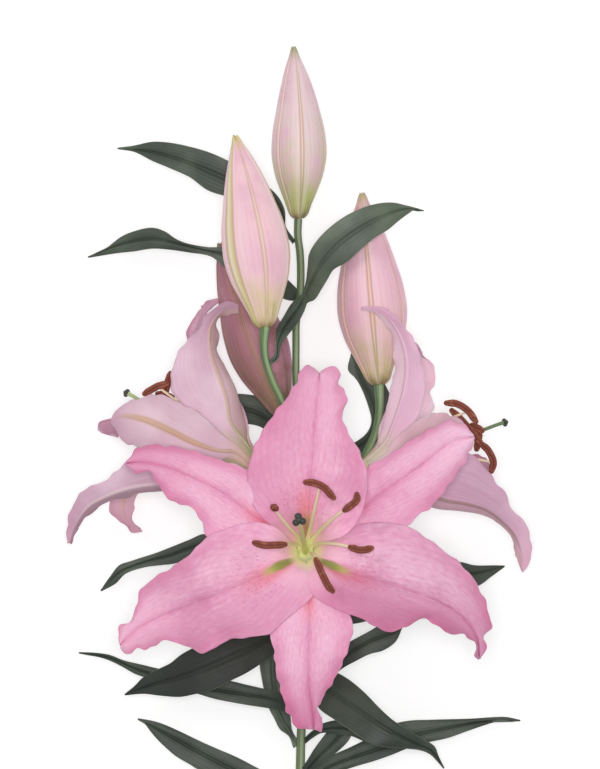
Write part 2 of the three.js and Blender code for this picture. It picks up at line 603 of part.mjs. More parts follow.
// Side flowers: the angle round the axis where each filament starts, then its anther.
const SIDE_STAMENS = {
  left: [
    { angle: 20, points: [[-84, 79, 54], [-77, 83, 57], [-72, 84.5, 58]] },
    { angle: 100, points: [[-73, 79, 48], [-71.5, 85, 50], [-70, 90, 51.5]] },
    { angle: 60, points: [[-77, 79, 45], [-73, 78, 45], [-69, 77, 44]] },
    { angle: -20, points: [[-72, 66, 52], [-77, 67, 53], [-81, 69, 52]] },
    { angle: -110, points: [[-75, 57, 36], [-80, 56, 35], [-85, 57, 33]] },
    { angle: 180, points: [[-70, 70, 26], [-75, 72, 24], [-80, 72, 23]] },
  ],
  right: [
    { angle: 75, points: [[79, 74, 57], [85, 73.5, 58], [91, 69.5, 58], [95, 64, 57]] },
    { angle: 40, points: [[82, 70, 51], [88, 64, 53], [94, 57, 54], [98, 52, 54]] },
    { angle: -65, points: [[98, 52, 48], [102, 48, 48], [104.5, 42, 47], [103.5, 37, 46]] },
    { angle: -30, points: [[95.5, 49, 42], [96.5, 54, 43], [97, 58, 44]] },
    { angle: 5, points: [[93, 62, 43], [96, 60.5, 43.5], [98.5, 59, 44]] },
    { angle: -130, points: [[78, 46, 35], [82, 45, 34], [87, 45, 33]] },
  ],
};
const SIDE_PISTILS = {
  left: [[-59, 59, 40.5, 0.9], [-75, 68.5, 37, 0.9], [-91, 78, 33.7, 1.1], [-94, 79.5, 32.5, 2.3]],
  right: [[75, 51, 40.5, 0.9], [98, 59, 37, 1.1], [108, 62.7, 34.4, 1.2], [111, 63.5, 33, 2.3]],
};
// Filaments of a side flower stand on a thin disc and keep to rings round the flower's axis:
// [distance past the base, radius].
const DISC_BASE = RECEPTACLE_TOP + SEAT_GAP;
const DISC_THICKNESS = 1;
const DISC_RADIUS = 4.4;
const FILAMENT_RINGS = [[DISC_BASE + DISC_THICKNESS / 2, 3.3], [20, 4.3], [36, 7.3]];
// Where each side pistil starts: [distance past the base, radius].
const OVARY = [[DISC_BASE + DISC_THICKNESS + SEAT_GAP, 1.8], [18, 1.6]];

// An anther is a short tube that narrows at both ends.
function anther(points) {
  const last = points.length - 1;
  const stations = points.map((point, i) => {
    const part = i === 0 || i === last ? ANTHER_END : 1;
    return [...point, ANTHER_RADIUS * part];
  });
  return tube(stations, { sides: 6, rows: 6 });
}

function addMainStamens() {
  MAIN_STAMENS.forEach((stamen, i) => {
    const stations = stamen.filament.map((point) => [...point, FILAMENT_RADIUS]);
    const filament = tube(stations, { sides: 6, rows: 8 });
    const whole = toSolid(filament).add(toSolid(anther(stamen.anther)));
    addNode(`main_stamen_${i + 1}`, toGeometry(whole), 'stamen');
  });
  addNode('main_pistil', tube(MAIN_PISTIL, PISTIL_SECTION), 'pistil');
}

function addSideStamens(flower) {
  const axes = flowerAxes(FLOWERS[flower]);
  const disc = [DISC_BASE, DISC_BASE + DISC_THICKNESS]
    .map((height) => [...around(axes, 0, height, 0), DISC_RADIUS]);
  const whole = SIDE_STAMENS[flower].reduce((solid, { angle, points }) => {
    const path = [
      ...FILAMENT_RINGS.map(([height, radius]) => around(axes, radians(angle), height, radius)),
      vector(points[Math.floor(points.length / 2)]),
    ];
    const stations = path.map((point) => [...point, FILAMENT_RADIUS]);
    const filament = tube(stations, { sides: 5, rows: 6 });
    return solid.add(toSolid(filament)).add(toSolid(anther(points)));
  }, toSolid(tube(disc, { sides: 12, rows: 1 })));
  addNode(`${flower}_stamens`, toGeometry(whole), 'stamen');
  const ovary = OVARY.map(([height, radius]) => [...around(axes, 0, height, 0), radius]);
  addNode(`${flower}_pistil`, tube([...ovary, ...SIDE_PISTILS[flower]], PISTIL_SECTION), 'pistil');
}

// ---------------------------------------------------------------- leaves

// Leaves: the midrib in space, then the two edges in plan between base and tip. keel is how far the
// edges stand above the midrib. carrier names the bud stalk that carries a leaf, if it isn't the stem.
const LEAVES = [
  { mid: [[-3.2, 161, 19], [-6.5, 164.5, 20.5], [-8.5, 170, 22.5], [-9.3, 176, 24.5], [-12, 182, 27],
      [-17, 187, 28.5], [-28, 191, 30], [-41, 196, 30], [-60, 204, 26], [-80, 210, 20], [-99, 212, 14]],
    upper: [[-7.6, 169.5], [-8, 174.5], [-8.5, 179], [-12, 186], [-18, 192], [-28, 199], [-42, 206.5],
      [-50, 210], [-60, 213], [-70, 215], [-80, 215.5], [-90, 213.5]],
    lower: [[-9.4, 170], [-10.6, 174.5], [-13, 178.5], [-19, 181], [-27, 183], [-41, 186], [-50, 189],
      [-60, 196.5], [-70, 201], [-80, 205], [-90, 210]],
    keel: 1.5, baseHalfWidth: 1.2 },
  { mid: [[0, 131, 22], [-8, 137, 26], [-20, 146, 30], [-35, 153, 31], [-50, 156.5, 30], [-65, 160, 27],
      [-80, 163, 22], [-97, 160, 16], [-115, 153, 10]],
    upper: [[-8, 142], [-20, 151], [-35, 156], [-43, 158], [-50, 158], [-60, 160], [-67, 163], [-73, 167],
      [-80, 169], [-90, 167], [-97, 164], [-105, 158]],
    lower: [[-8, 130], [-20, 137], [-32, 143], [-40, 146.5], [-48, 153], [-60, 155.5], [-70, 157],
      [-80, 157.5], [-90, 156], [-100, 155]],
    keel: 1 },
  { mid: [[0, 124, 25], [4, 135, 32], [10, 147, 38], [20, 159, 42], [32, 168, 43], [45, 175, 40],
      [57, 179, 34], [67, 178, 28]],
    upper: [[2, 135], [4, 147], [5, 155], [10, 163], [20, 172], [30, 178], [40, 181.5], [50, 182.5],
      [58, 181]],
    lower: [[4, 128], [8, 130], [12, 136], [15, 141], [18, 146], [25, 150], [33, 157], [40, 163], [48, 168],
      [54, 173], [58, 176], [62, 178.5]],
    keel: 1 },
  { mid: [[-18, 95, 56], [-13, 98, 56.5], [-12, 106, 55], [-9, 114, 50], [-5, 120, 46], [0, 127, 42],
      [3, 133, 38]],
    upper: [[-14.2, 99.5], [-13.5, 106], [-12.5, 114], [-9, 121], [-4, 128.5], [0.5, 132.5]],
    lower: [[-11.8, 97.5], [-10.5, 105], [-6, 111], [-1.5, 117], [2.5, 124], [4, 129.5]],
    keel: 0.8, baseHalfWidth: 1.2, carrier: 'left' },
  { mid: [[0, 24, 29], [-2, 36, 22], [-7, 50, 14], [-14, 62, 9], [-24, 69, 6], [-36, 71.5, 4.5],
      [-50, 70, 3.5], [-64, 67, 3.5]],
    upper: [[2, 38], [-1, 52], [-6, 66], [-18, 76], [-35, 79], [-50, 76], [-60, 71]],
    lower: [[-6, 34], [-13, 48], [-20, 60], [-34, 63], [-50, 63], [-60, 64]],
    keel: 0 },
  { mid: [[-1, 35, 31], [8, 39, 25], [20, 44, 20], [34, 52, 15], [41, 63, 11], [39, 77, 8], [33, 88, 5],
      [28, 101, 4]],
    upper: [[10, 43], [20, 48.5], [30, 53], [36, 58], [39, 64], [37, 74], [33, 82], [29, 88], [26, 92]],
    lower: [[10, 38], [24, 40], [35, 46], [41, 50], [49, 60], [50, 74], [45, 86], [36, 96]],
    keel: 0 },
  { mid: [[-2, -32, 24], [-20, -16, 20], [-40, -6, 16], [-55, -3.5, 14], [-70, -8.5, 11], [-85, -12.5, 8],
      [-98, -18, 6], [-108, -28, 4]],
    upper: [[-10, -20], [-28, -4], [-40, 0], [-47, 1], [-52, 3], [-60, 0], [-70, -4], [-80, -8], [-92, -12],
      [-98, -14], [-103, -20]],
    lower: [[-12, -29], [-28, -19], [-45, -12], [-58, -9.5], [-68, -13], [-75, -14], [-85, -15.5],
      [-95, -19], [-100, -24]],
    keel: 1 },
  { mid: [[2, -48, 21], [20, -42, 25], [35, -37, 27], [60, -29, 26], [85, -20, 21], [97, -18, 16],
      [111, -14.5, 10]],
    upper: [[15, -38], [35, -29], [60, -18], [85, -12], [95, -14], [105, -14]],
    lower: [[15, -47], [30, -45.5], [40, -43], [60, -37], [80, -30], [97, -25], [104, -20]],
    keel: 1.5 },
  { mid: [[-2, -92, 14], [-15, -86.5, 18], [-30, -84, 21], [-50, -80.5, 22], [-70, -76, 20],
      [-88, -70.5, 16], [-103, -64.2, 11], [-120, -61.5, 6]],
    upper: [[-12, -82.5], [-21, -80.5], [-30, -78.5], [-38, -76.5], [-55, -73.5], [-77, -70],
      [-85, -68], [-95, -65.5], [-103, -62.5], [-110, -61.5]],
    lower: [[-17, -91.5], [-30, -89.5], [-45, -86.5], [-55, -83.5], [-70, -79.5], [-85, -74.5],
      [-90, -72.5], [-97, -68.5], [-105, -65]],
    keel: 1 },
  { mid: [[0, -42, 22], [-5, -46.6, 24], [-20, -55.6, 30], [-35, -62.6, 35], [-50, -69.1, 35],
      [-65, -74.6, 31], [-80, -78.6, 26], [-95, -84.1, 20]],
    upper: [[-8, -41.6], [-20, -42.6], [-40, -48.6], [-58, -58.6], [-65, -62.6], [-70, -66.6],
      [-77, -70.1], [-85, -74.6], [-90, -79.6]],
    lower: [[-5, -52.6], [-15, -62.6], [-22, -67.6], [-30, -72.6], [-38, -76.6], [-48, -81.6],
      [-57, -83.6], [-65, -85.1], [-75, -84.6], [-85, -83.6]],
    keel: 1.5 },
  { mid: [[-1.5, -112, 10], [-6, -104, 10], [-12, -93, 9], [-14, -80, 8], [-15, -66, 8], [-14, -50, 9],
      [-8, -30, 10]],
    upper: [[-6, -107], [-11, -103], [-14, -97], [-17, -91], [-20, -80], [-21, -75], [-22, -67], [-20, -50]],
    lower: [[-4, -104], [-5, -96], [-6, -86], [-7.5, -76], [-8, -66], [-7.5, -50], [-6.5, -38]],
    keel: 0.5 },
  { mid: [[-2, -141, 6.5], [-12, -134.9, 8], [-30, -127.9, 8], [-50, -117.9, 7], [-70, -106.9, 5.5],
      [-88, -97.4, 4]],
    upper: [[-12, -129.9], [-25, -122.9], [-35, -117.9], [-45, -113.4], [-55, -108.9], [-65, -104.4],
      [-75, -99.9], [-80, -98.4]],
    lower: [[-12, -139.9], [-25, -136.9], [-40, -131.4], [-55, -124.9], [-60, -121.9], [-67, -117.9],
      [-73, -112.9], [-78, -107.9], [-82, -102.9], [-85, -98.9]],
    keel: 1 },
  { mid: [[3, -88, 13], [14, -73, 20], [25, -63, 24], [38, -55, 26], [50, -50, 26], [60, -40, 24]],
    upper: [[6, -78], [15, -65], [26, -56], [40, -48], [48, -43], [56, -39.5]],
    lower: [[9, -84], [22, -70.5], [30, -66], [38, -62], [45, -60], [52, -55], [56, -47], [59, -42]],
    keel: 1 },
  { mid: [[1, -70, 17], [14, -80, 26], [30, -91, 35], [48, -103, 40], [62, -110, 35], [71, -114, 28],
      [78, -124, 20]],
    upper: [[8, -69], [20, -72], [27, -76], [34, -82], [42, -90], [50, -97], [58, -102.5], [66, -107.5],
      [73, -112], [75, -117]],
    lower: [[5, -82], [10, -91], [18, -97], [27, -103], [38, -110], [45, -112], [57, -113], [64, -113.5],
      [70, -116], [75, -121]],
    keel: 1.5 },
  { mid: [[2, -132, 8], [15, -123.8, 8.5], [30, -117.8, 9], [45, -112.8, 10], [60, -106.8, 11],
      [80, -102.3, 10], [100, -98.8, 9], [119.5, -98.3, 7]],
    upper: [[9, -122.8], [18, -116.8], [27, -112.8], [37, -107.8], [50, -100.3], [60, -98.1],
      [70, -97.8], [90, -97.3], [105, -96.3], [112, -96.3]],
    lower: [[12, -129.8], [28, -123.8], [40, -120.3], [50, -116.8], [57, -113.8], [68, -110.3],
      [80, -107.8], [90, -104.3], [100, -100.8], [108, -98.3], [115, -98.8]],
    keel: 0.5 },
  { mid: [[1, -128, 9], [10, -118, 15], [20, -108, 18], [30, -92, 19]],
    upper: [[3, -121], [8, -113], [14, -105], [22, -96]],
    lower: [[8, -125], [18, -117], [27, -108], [30, -98]],
    keel: 0.5 },
  { mid: [[2, -110, 10], [6, -106, 14], [12, -103, 20], [22, -102, 24], [32, -104, 26], [42, -107, 27]],
    upper: [[6.5, -103.5], [11, -100.5], [18, -98], [28, -98.5], [38, -103]],
    lower: [[7, -107.5], [11, -105], [20, -105.5], [28, -106.5], [38, -110]],
    keel: 0.8, baseHalfWidth: 1.2 },
];

// An edge in space: its plan points, with the midrib's height at the same part of the way, and ends
// that stand off the midrib's own ends by half a base width and half a tip width.
function leafEdge(midrib, outline, keel, baseHalfWidth) {
  const standOff = (t, halfWidth, near) => {
    const point = midrib.getPointAt(t);
    const tangent = midrib.getTangentAt(t);
    const across = new THREE.Vector3(-tangent.y, tangent.x, 0).normalize();
    const towards = Math.sign(across.dot(new THREE.Vector3(...near, 0).sub(point).setZ(0)));
    return point.addScaledVector(across, towards * halfWidth);
  };
  const first = standOff(0, baseHalfWidth, outline[0]);
  const last = standOff(1, TIP_HALF_WIDTH, outline[outline.length - 1]);
  const planPoints = [flat([...first]), ...outline.map(flat), flat([...last])];
  const lengths = [0];
  for (let i = 1; i < planPoints.length; i++) {
    lengths.push(lengths[i - 1] + planPoints[i].distanceTo(planPoints[i - 1]));
  }
  const whole = lengths[lengths.length - 1];
  return curveThrough(planPoints.map((point, i) => {
    const t = lengths[i] / whole;
    const height = midrib.getPointAt(t).z + keel * Math.sin(Math.PI * t);
    return new THREE.Vector3(point.x, point.y, height);
  }));
}

function addLeaves(stemSeat) {
  LEAVES.forEach(({ mid, upper, lower, keel, carrier, baseHalfWidth = LEAF_BASE_HALF_WIDTH }, i) => {
    const midrib = curveThrough(mid.map(vector));
    const [edgeA, edgeB] = [upper, lower].map((outline) => leafEdge(midrib, outline, keel, baseHalfWidth));
    const shape = blade(edgeA, midrib, edgeB, {
      rows: LEAF_ROWS, columns: LEAF_COLUMNS, thickness: LEAF_THICKNESS,
    });
    const seats = [stemSeat];
    if (carrier) {
      seats.push(budStalk(carrier, SEAT_GAP));
    }
    addNode(`leaf_${i + 1}`, cutClear(shape, seats), 'leaf');
  });
}

// ---------------------------------------------------------------- assembly

const stemSeat = stemTube(SEAT_GAP);
addStemAndBuds(stemSeat);
addMainTepals();
addSideTepals('left');
addSideTepals('right');
addMainStamens();
addSideStamens('left');
addSideStamens('right');
addLeaves(stemSeat);

const box = new THREE.Box3().setFromObject(group);
const middle = box.getCenter(new THREE.Vector3());
group.position.set(-middle.x, -middle.y, -box.min.z);

export default group;
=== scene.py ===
# A cut lily lying on its back: three open flowers, four buds and seventeen leaves on one stem.
# Metres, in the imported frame: the stem runs along +Y from its cut end, and the middle flower opens
# upwards. Drawn points are in millimetres, from the spot on the table under the middle flower.
import math

import bpy
import numpy as np
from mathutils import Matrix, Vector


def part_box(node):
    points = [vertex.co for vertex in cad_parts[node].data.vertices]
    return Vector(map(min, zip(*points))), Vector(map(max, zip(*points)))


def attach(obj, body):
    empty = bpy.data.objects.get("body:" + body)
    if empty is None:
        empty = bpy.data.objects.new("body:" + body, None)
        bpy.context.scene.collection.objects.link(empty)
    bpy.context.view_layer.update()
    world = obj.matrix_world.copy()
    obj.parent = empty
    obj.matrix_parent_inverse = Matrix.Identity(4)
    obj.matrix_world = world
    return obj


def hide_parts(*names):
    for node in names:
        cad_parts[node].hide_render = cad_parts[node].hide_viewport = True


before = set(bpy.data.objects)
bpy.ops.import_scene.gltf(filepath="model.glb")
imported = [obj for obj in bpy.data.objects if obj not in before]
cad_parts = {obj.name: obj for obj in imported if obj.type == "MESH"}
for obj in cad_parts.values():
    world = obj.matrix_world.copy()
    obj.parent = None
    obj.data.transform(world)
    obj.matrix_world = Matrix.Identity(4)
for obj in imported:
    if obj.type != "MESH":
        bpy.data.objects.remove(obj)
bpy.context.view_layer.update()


# ---------------------------------------------------------------- stem
# One green shoot, round and faintly ribbed along its length, that carries everything else. It was cut
# square across at its lower end, where the pale pith shows.
MM = 0.001
# Centre and radius along the stem, from the cut end to the top bud.
STEM = [
    (0.5, -199.4, 3.7, 2.9), (0, -150, 5.5, 2.7), (0.3, -115, 9.5, 2.45), (1.5, -80, 15, 2.4),
    (2, -40, 22, 2.35), (1, 0, 28.5, 2.3), (-1, 40, 32, 2.1), (-2.2, 85, 30, 2), (-2.2, 105, 29, 2),
    (-2, 118, 26, 2), (-0.3, 128, 23, 2.05), (0.4, 142, 21, 2.1), (0, 155, 19, 2.1),
    (-1.2, 165, 17.8, 2.1), (-1, 173.7, 16.6, 2.2),
]
# The lowest corner of the drawn stem. The frame says where that corner lies.
STEM_CORNER = np.array((-4.254, -200.15, 0.146))
ORIGIN = np.array(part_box("stem")[0]) - STEM_CORNER * MM
CURVE_STEPS = 24                 # between each two points of a curve
STEM_MESH = (240, 28)            # rings and sides
JOIN_WITHIN = 0.01 * MM          # points of a closed grid that are one point
CUT_BEVEL = 0.25 * MM
PITH_INSET = 0.9 * MM
PITH_SINK = 0.15 * MM
SHARPEST_SMOOTH = 50             # degrees between two of the stem's faces that still look like one


def curve_through(points):
    """A smooth curve through points, as a function of the part of its length gone along it."""
    points = np.array(points, float)
    ends = np.vstack([2 * points[:1] - points[1:2], points, 2 * points[-1:] - points[-2:-1]])
    gap = np.linalg.norm(np.diff(ends[:, :3], axis=0), axis=1) ** 0.5
    t = np.linspace(0, 1, CURVE_STEPS, endpoint=False)[:, None]
    dense = []
    for i in range(1, len(points)):
        before, start, end, after = ends[i - 1:i + 3]
        d0, d1, d2 = gap[i - 1:i + 2]
        leave = ((start - before) / d0 - (end - before) / (d0 + d1) + (end - start) / d1) * d1
        arrive = ((end - start) / d1 - (after - start) / (d1 + d2) + (after - end) / d2) * d1
        bend = 3 * (end - start) - 2 * leave - arrive
        dense.append(start + leave * t + bend * t ** 2 + (leave + arrive - 2 * (end - start)) * t ** 3)
    dense = np.vstack([*dense, points[-1:]])
    length = np.append(0, np.cumsum(np.linalg.norm(np.diff(dense[:, :3], axis=0), axis=1)))
    length /= length[-1]
    return lambda part: np.stack([np.interp(part, length, column) for column in dense.T], axis=-1)


def unit(vector):
    return vector / np.linalg.norm(vector, axis=-1, keepdims=True)


def ring_at(centre, reach, angle, first, second):
    """A ring of points round a centre. Its angles are counted from the first direction to the second."""
    return centre + np.outer(reach * np.cos(angle), first) + np.outer(reach * np.sin(angle), second)


def rings_round(stations, rows, sides, section=None):
    """Rings of points round a curve. section gives, for the angle and the part of the way along, how
    much of the radius is used."""
    part = np.linspace(0, 1, rows)
    along = curve_through(stations)(part)
    centre, radius = along[:, :3], along[:, 3]
    ahead = unit(np.gradient(centre, axis=0))
    angle = np.linspace(0, 2 * np.pi, sides + 1)
    side = np.array((1.0, 0, 0)) if abs(ahead[0][2]) > 0.9 else np.cross(ahead[0], (0, 0, 1))
    rings = []
    for row in range(rows):
        side = unit(side - ahead[row] * (side @ ahead[row]))
        down = np.cross(ahead[row], side)
        reach = radius[row] * (section(angle, part[row]) if section else np.ones_like(angle))
        rings.append(ring_at(centre[row], reach, angle, side, down))
    return np.array(rings)


def lay_grid(name, shape, *finishes, closed=False):
    """Lays a grid on rows of drawn points. A closed one has its first and last columns joined and its
    two ends filled. Its UV map runs across each row and along the rows, both from 0 to 1."""
    rows, columns = shape.shape[:2]
    bpy.ops.object.select_all(action="DESELECT")
    bpy.ops.mesh.primitive_grid_add(x_subdivisions=columns - 1, y_subdivisions=rows - 1, size=1)
    piece = bpy.context.object
    piece.name = piece.data.name = name
    piece.data.vertices.foreach_set("co", (shape * MM + ORIGIN).ravel())
    for finish in finishes:
        piece.data.materials.append(finish)
    if closed:
        bpy.ops.object.mode_set(mode="EDIT")
        bpy.ops.mesh.select_all(action="SELECT")
        bpy.ops.mesh.remove_doubles(threshold=JOIN_WITHIN)
        bpy.ops.mesh.fill_holes(sides=0)
        bpy.ops.object.mode_set(mode="OBJECT")
    bpy.ops.object.shade_smooth()
    return piece


def hand_over(piece, node):
    """The piece rides on the one body and stands for its node."""
    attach(piece, "root")
    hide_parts(node)


def paint(code):
    """A colour written as six hexadecimal digits, in linear light."""
    parts = [int(code[i:i + 2], 16) / 255 for i in (0, 2, 4)]
    return tuple(p / 12.92 if p <= 0.04045 else ((p + 0.055) / 1.055) ** 2.4 for p in parts) + (1,)


def add_node(tree, kind, inputs, **settings):
    """A shader node. Each input is a value or another node's output."""
    node = tree.nodes.new("ShaderNode" + kind)
    for name, value in settings.items():
        setattr(node, name, value)
    for key, value in inputs.items():
        if isinstance(value, bpy.types.NodeSocket):
            tree.links.new(value, node.inputs[key])
        else:
            node.inputs[key].default_value = value
    return node


def maths(tree, operation, *values):
    return add_node(tree, "Math", dict(enumerate(values)), operation=operation).outputs[0]


def summed(tree, total, *terms):
    """A total with terms added, each a value and how many times over it counts."""
    for value, times in terms:
        total = maths(tree, "MULTIPLY_ADD", value, times, total)
    return total


def gap(tree, value, middle):
    """How far a value is from a middle one, on either side."""
    return maths(tree, "ABSOLUTE", maths(tree, "SUBTRACT", value, middle))


def between(tree, value, low, high):
    """0 up to low and 1 from high; low above high turns it round."""
    inputs = {"Value": value, "From Min": low, "From Max": high}
    return add_node(tree, "MapRange", inputs, interpolation_type="SMOOTHSTEP").outputs["Result"]


def masked(tree, strength, *masks):
    """A strength times its masks. A mask is a value, or a value with where it leaves nothing and where
    it leaves all."""
    for mask in masks:
        value = between(tree, *mask) if isinstance(mask, tuple) else mask
        strength = maths(tree, "MULTIPLY", value, strength)
    return strength


def coated(tree, colour, *coats):
    """Lays coats of colour over a first one. A coat is its colour, its strength and its masks. Colours
    are codes or another node's output."""
    for over, strength, *masks in coats:
        under, over = (paint(code) if isinstance(code, str) else code for code in (colour, over))
        inputs = {0: masked(tree, strength, *masks), 6: under, 7: over}
        colour = add_node(tree, "Mix", inputs, data_type="RGBA").outputs[2]
    return colour


def spread_out(tree, x, y, wide=1.0, long=1.0):
    """A place on a flat pattern: x and y, and how many times over each counts."""
    return add_node(tree, "CombineXYZ", {0: masked(tree, wide, x), 1: masked(tree, long, y)}).outputs[0]


def noise(tree, vector, scale, detail=2.0):
    inputs = {"Vector": vector, "Scale": scale, "Detail": detail}
    return add_node(tree, "TexNoise", inputs).outputs[0]


def grain(tree, scale, detail=3.0):
    """Noise that runs through the whole piece."""
    return noise(tree, add_node(tree, "TexCoord", {}).outputs["Object"], scale, detail)


def new_finish(name, roughness, gloss, others=()):
    """A material with its shader's plain values set."""
    material = bpy.data.materials.new(name)
    material.use_nodes = True
    plain = {"Roughness": roughness, "Specular IOR Level": gloss, **dict(others)}
    for socket, value in plain.items():
        material.node_tree.nodes["Principled BSDF"].inputs[socket].default_value = value
    return material, material.node_tree


def piece_uv(tree):
    return add_node(tree, "UVMap", {}, uv_map="UVMap").outputs["UV"]


BLACK = (0, 0, 0, 1)


def dress(material, colour, height=None, strength=0, depth=0, painted_glow=None):
    """Gives a material its colour and its relief, depth millimetres deep. Where the painted glow's mask
    leaves it, the colour glows a little: painted light, standing in for light that comes through the tissue."""
    tree = material.node_tree
    shader = tree.nodes["Principled BSDF"]
    tree.links.new(colour, shader.inputs["Base Color"])
    if height:
        bump = add_node(tree, "Bump", {"Height": height, "Strength": strength, "Distance": depth * MM})
        tree.links.new(bump.outputs["Normal"], shader.inputs["Normal"])
    if painted_glow:
        tree.links.new(coated(tree, BLACK, (colour, 1, painted_glow)), shader.inputs["Emission Color"])
    return material


def markings_group():
    """Lines that run along a leaf, petal or stalk, from its UV map. Across is 0 at the middle and 1 at
    the edges, Along runs from base to tip. Veins fan out from the base by Spread, and leave the
    midrib at a slope by Slant."""
    group = bpy.data.node_groups.new("lengthwise_markings", "ShaderNodeTree")
    group.interface.new_socket("Vector", in_out="INPUT", socket_type="NodeSocketVector")
    for name in ("Veins", "Spread", "Slant"):
        group.interface.new_socket(name, in_out="INPUT", socket_type="NodeSocketFloat")
    given = group.nodes.new("NodeGroupInput").outputs
    parts = add_node(group, "SeparateXYZ", {0: given["Vector"]}).outputs
    along = parts[1]
    side = summed(group, -1.0, (parts[0], 2.0))
    fan = summed(group, 1.0, (along, given["Spread"]))
    wander = noise(group, spread_out(group, side, along, long=3.0), 3.0)
    count = masked(group, given["Veins"], maths(group, "DIVIDE", side, fan))
    slope = masked(group, given["Slant"], along, maths(group, "SIGN", side))
    place = summed(group, wander, (count, 1.0), (slope, -1.0))
    results = {
        "Side": side, "Across": maths(group, "ABSOLUTE", side), "Along": along,
        "Vein": between(group, maths(group, "PINGPONG", place, 0.5), 0.16, 0.0),
        "Streak": noise(group, spread_out(group, place, along, 1.4, 3.0), 1.0, 4.0),
        "Fine": noise(group, spread_out(group, place, along, 9.0, 22.0), 1.0),
    }
    made = group.nodes.new("NodeGroupOutput").inputs
    for name, value in results.items():
        group.interface.new_socket(name, in_out="OUTPUT", socket_type="NodeSocketFloat")
        group.links.new(value, made[name])
    return group


MARKINGS = markings_group()


def lengthwise(tree, veins, spread=0.0, slant=0.0, vector=None):
    """Places the markings group, on the piece's own UV map unless a vector is given."""
    inputs = {"Vector": vector or piece_uv(tree), "Veins": veins, "Spread": spread, "Slant": slant}
    return add_node(tree, "Group", inputs, node_tree=MARKINGS).outputs


def green_finish(name, shade, light, painted_highlight, end=None):
    """Living stem: waxy green with paler lines along it. end is the colour that it turns to at its end."""
    material, tree = new_finish(name, 0.42, 0.4)
    lines = lengthwise(tree, 9.0)
    # A painted highlight: a pale line along the side that faces up and a little to the right, where the
    # light falls.
    off_highlight = gap(tree, lines["Side"], 0.6)
    streak = lines["Streak"]
    green = coated(tree, shade, (light, 1, (streak, 0.35, 0.65)), (painted_highlight, 0.7, (off_highlight, 0.22, 0.04)))
    if end:
        green = coated(tree, green, (end, 1, (lines["Along"], 0.8, 0.9)))
    return dress(material, green, streak, 0.35, 0.4)


def stem_section(angle, part):
    return 1 + 0.02 * np.cos(5 * angle) + 0.012 * np.cos(13 * angle + 3 * part)


stem_green = green_finish("stem_green", "4c5f3f", "6a7d57", "98a686")
pith, tree = new_finish("cut_pith", 0.7, 0.5)
dress(pith, coated(tree, "a9b483", ("d3d6b4", 1, grain(tree, 900))))
stem = lay_grid("green_stem", rings_round(STEM, *STEM_MESH, stem_section), stem_green, pith, closed=True)
bpy.ops.object.mode_set(mode="EDIT")
bpy.ops.mesh.select_mode(type="FACE")
bpy.ops.mesh.select_all(action="DESELECT")
bpy.ops.object.mode_set(mode="OBJECT")
# The cut end is the one face with many corners that looks back down the stem.
for face in stem.data.polygons:
    face.select = face.normal.y < -0.9 and len(face.vertices) > 4
bpy.ops.object.mode_set(mode="EDIT")
bpy.ops.mesh.bevel(offset=CUT_BEVEL, segments=2)
bpy.ops.mesh.inset(thickness=PITH_INSET, depth=-PITH_SINK)
stem.active_material_index = 1
bpy.ops.object.material_slot_assign()
bpy.ops.object.mode_set(mode="OBJECT")
bpy.ops.object.shade_smooth_by_angle(angle=math.radians(SHARPEST_SMOOTH))
hand_over(stem, "stem")


# ---------------------------------------------------------------- stalks
# Each flower and bud has a short green stalk that grows out of the stem. A flower's stalk swells into
# the receptacle that its petals stand on.

# Where each flower's petals are attached and the direction that it opens in.
FLOWERS = {
    "main": ((3, -7, 48), (0, 0, 1)),
    "left": ((-25.5, 39.5, 50), (-0.76, 0.6, -0.25)),
    "right": ((36.5, 38, 50), (0.88, 0.41, -0.24)),
}
FLOWER_STALKS = {
    "main": [(2, -42, 24, 2.2), (2.5, -28, 27, 2.2), (3, -14, 32, 2.4)],
    "left": [(0, 8, 30, 2), (-6, 16, 39, 2), (-13, 26, 47, 2.2)],
    "right": [(0, 2, 29, 2), (8, 12, 38, 2), (20, 24, 46, 2.2)],
}
# The receptacle: how far past the petals' base, and its radius there.
RECEPTACLE = [(-9, 3), (-6, 4), (-3, 5), (-0.5, 5.7), (1.2, 4.5)]
BUD_STALKS = {
    "left": [(-1, 40, 32, 1.9), (-5, 58, 40, 1.9), (-10, 75, 47, 1.9), (-15, 86, 52, 2),
             (-18.5, 97, 56, 2.1), (-19.5, 106, 59, 2.3), (-19, 114.7, 61, 2.8)],
    "back": [(-1, 32, 32, 1.9), (-4.5, 48, 27, 1.9), (-8, 60, 21.5, 2.1), (-9.5, 67.7, 19.5, 2.8)],
    "right": [(0, 22, 31, 1.9), (16, 30, 31, 1.9), (32, 42, 29, 2), (40, 56, 25, 2), (43, 70, 22, 2.2),
              (42.7, 83.7, 20.6, 2.8)],
}
STALK_MESH = (90, 24)
CAP_TURNS = (25, 50, 70, 84)     # degrees round a rounded end at which it has a ring

stalk_green = green_finish("stalk_green", "4d6844", "6c8a5c", "9fb488")
receptacle_green = green_finish("receptacle_green", "4d6844", "6c8a5c", "9fb488", "dfe2a6")


def dome(rings, at_start=False):
    """Closes one end of a tube with a rounded cap."""
    ring, inner = (rings[0], rings[1]) if at_start else (rings[-1], rings[-2])
    centre = ring[:-1].mean(axis=0)
    away = unit(centre - inner[:-1].mean(axis=0))
    radius = np.linalg.norm(ring - centre, axis=1).mean()
    turns = [math.radians(turn) for turn in CAP_TURNS]
    caps = [centre + away * radius * math.sin(turn) + (ring - centre) * math.cos(turn) for turn in turns]
    return np.vstack([caps[::-1], rings]) if at_start else np.vstack([rings, caps])


def round_piece(name, stations, mesh, finish, section=None):
    """A tube with a rounded far end. mesh is its rings and sides."""
    return lay_grid(name, dome(rings_round(stations, *mesh, section)), finish, closed=True)


def add_stalk(name, stations, finish):
    hand_over(round_piece(f"{name}_piece", stations, STALK_MESH, finish), name)


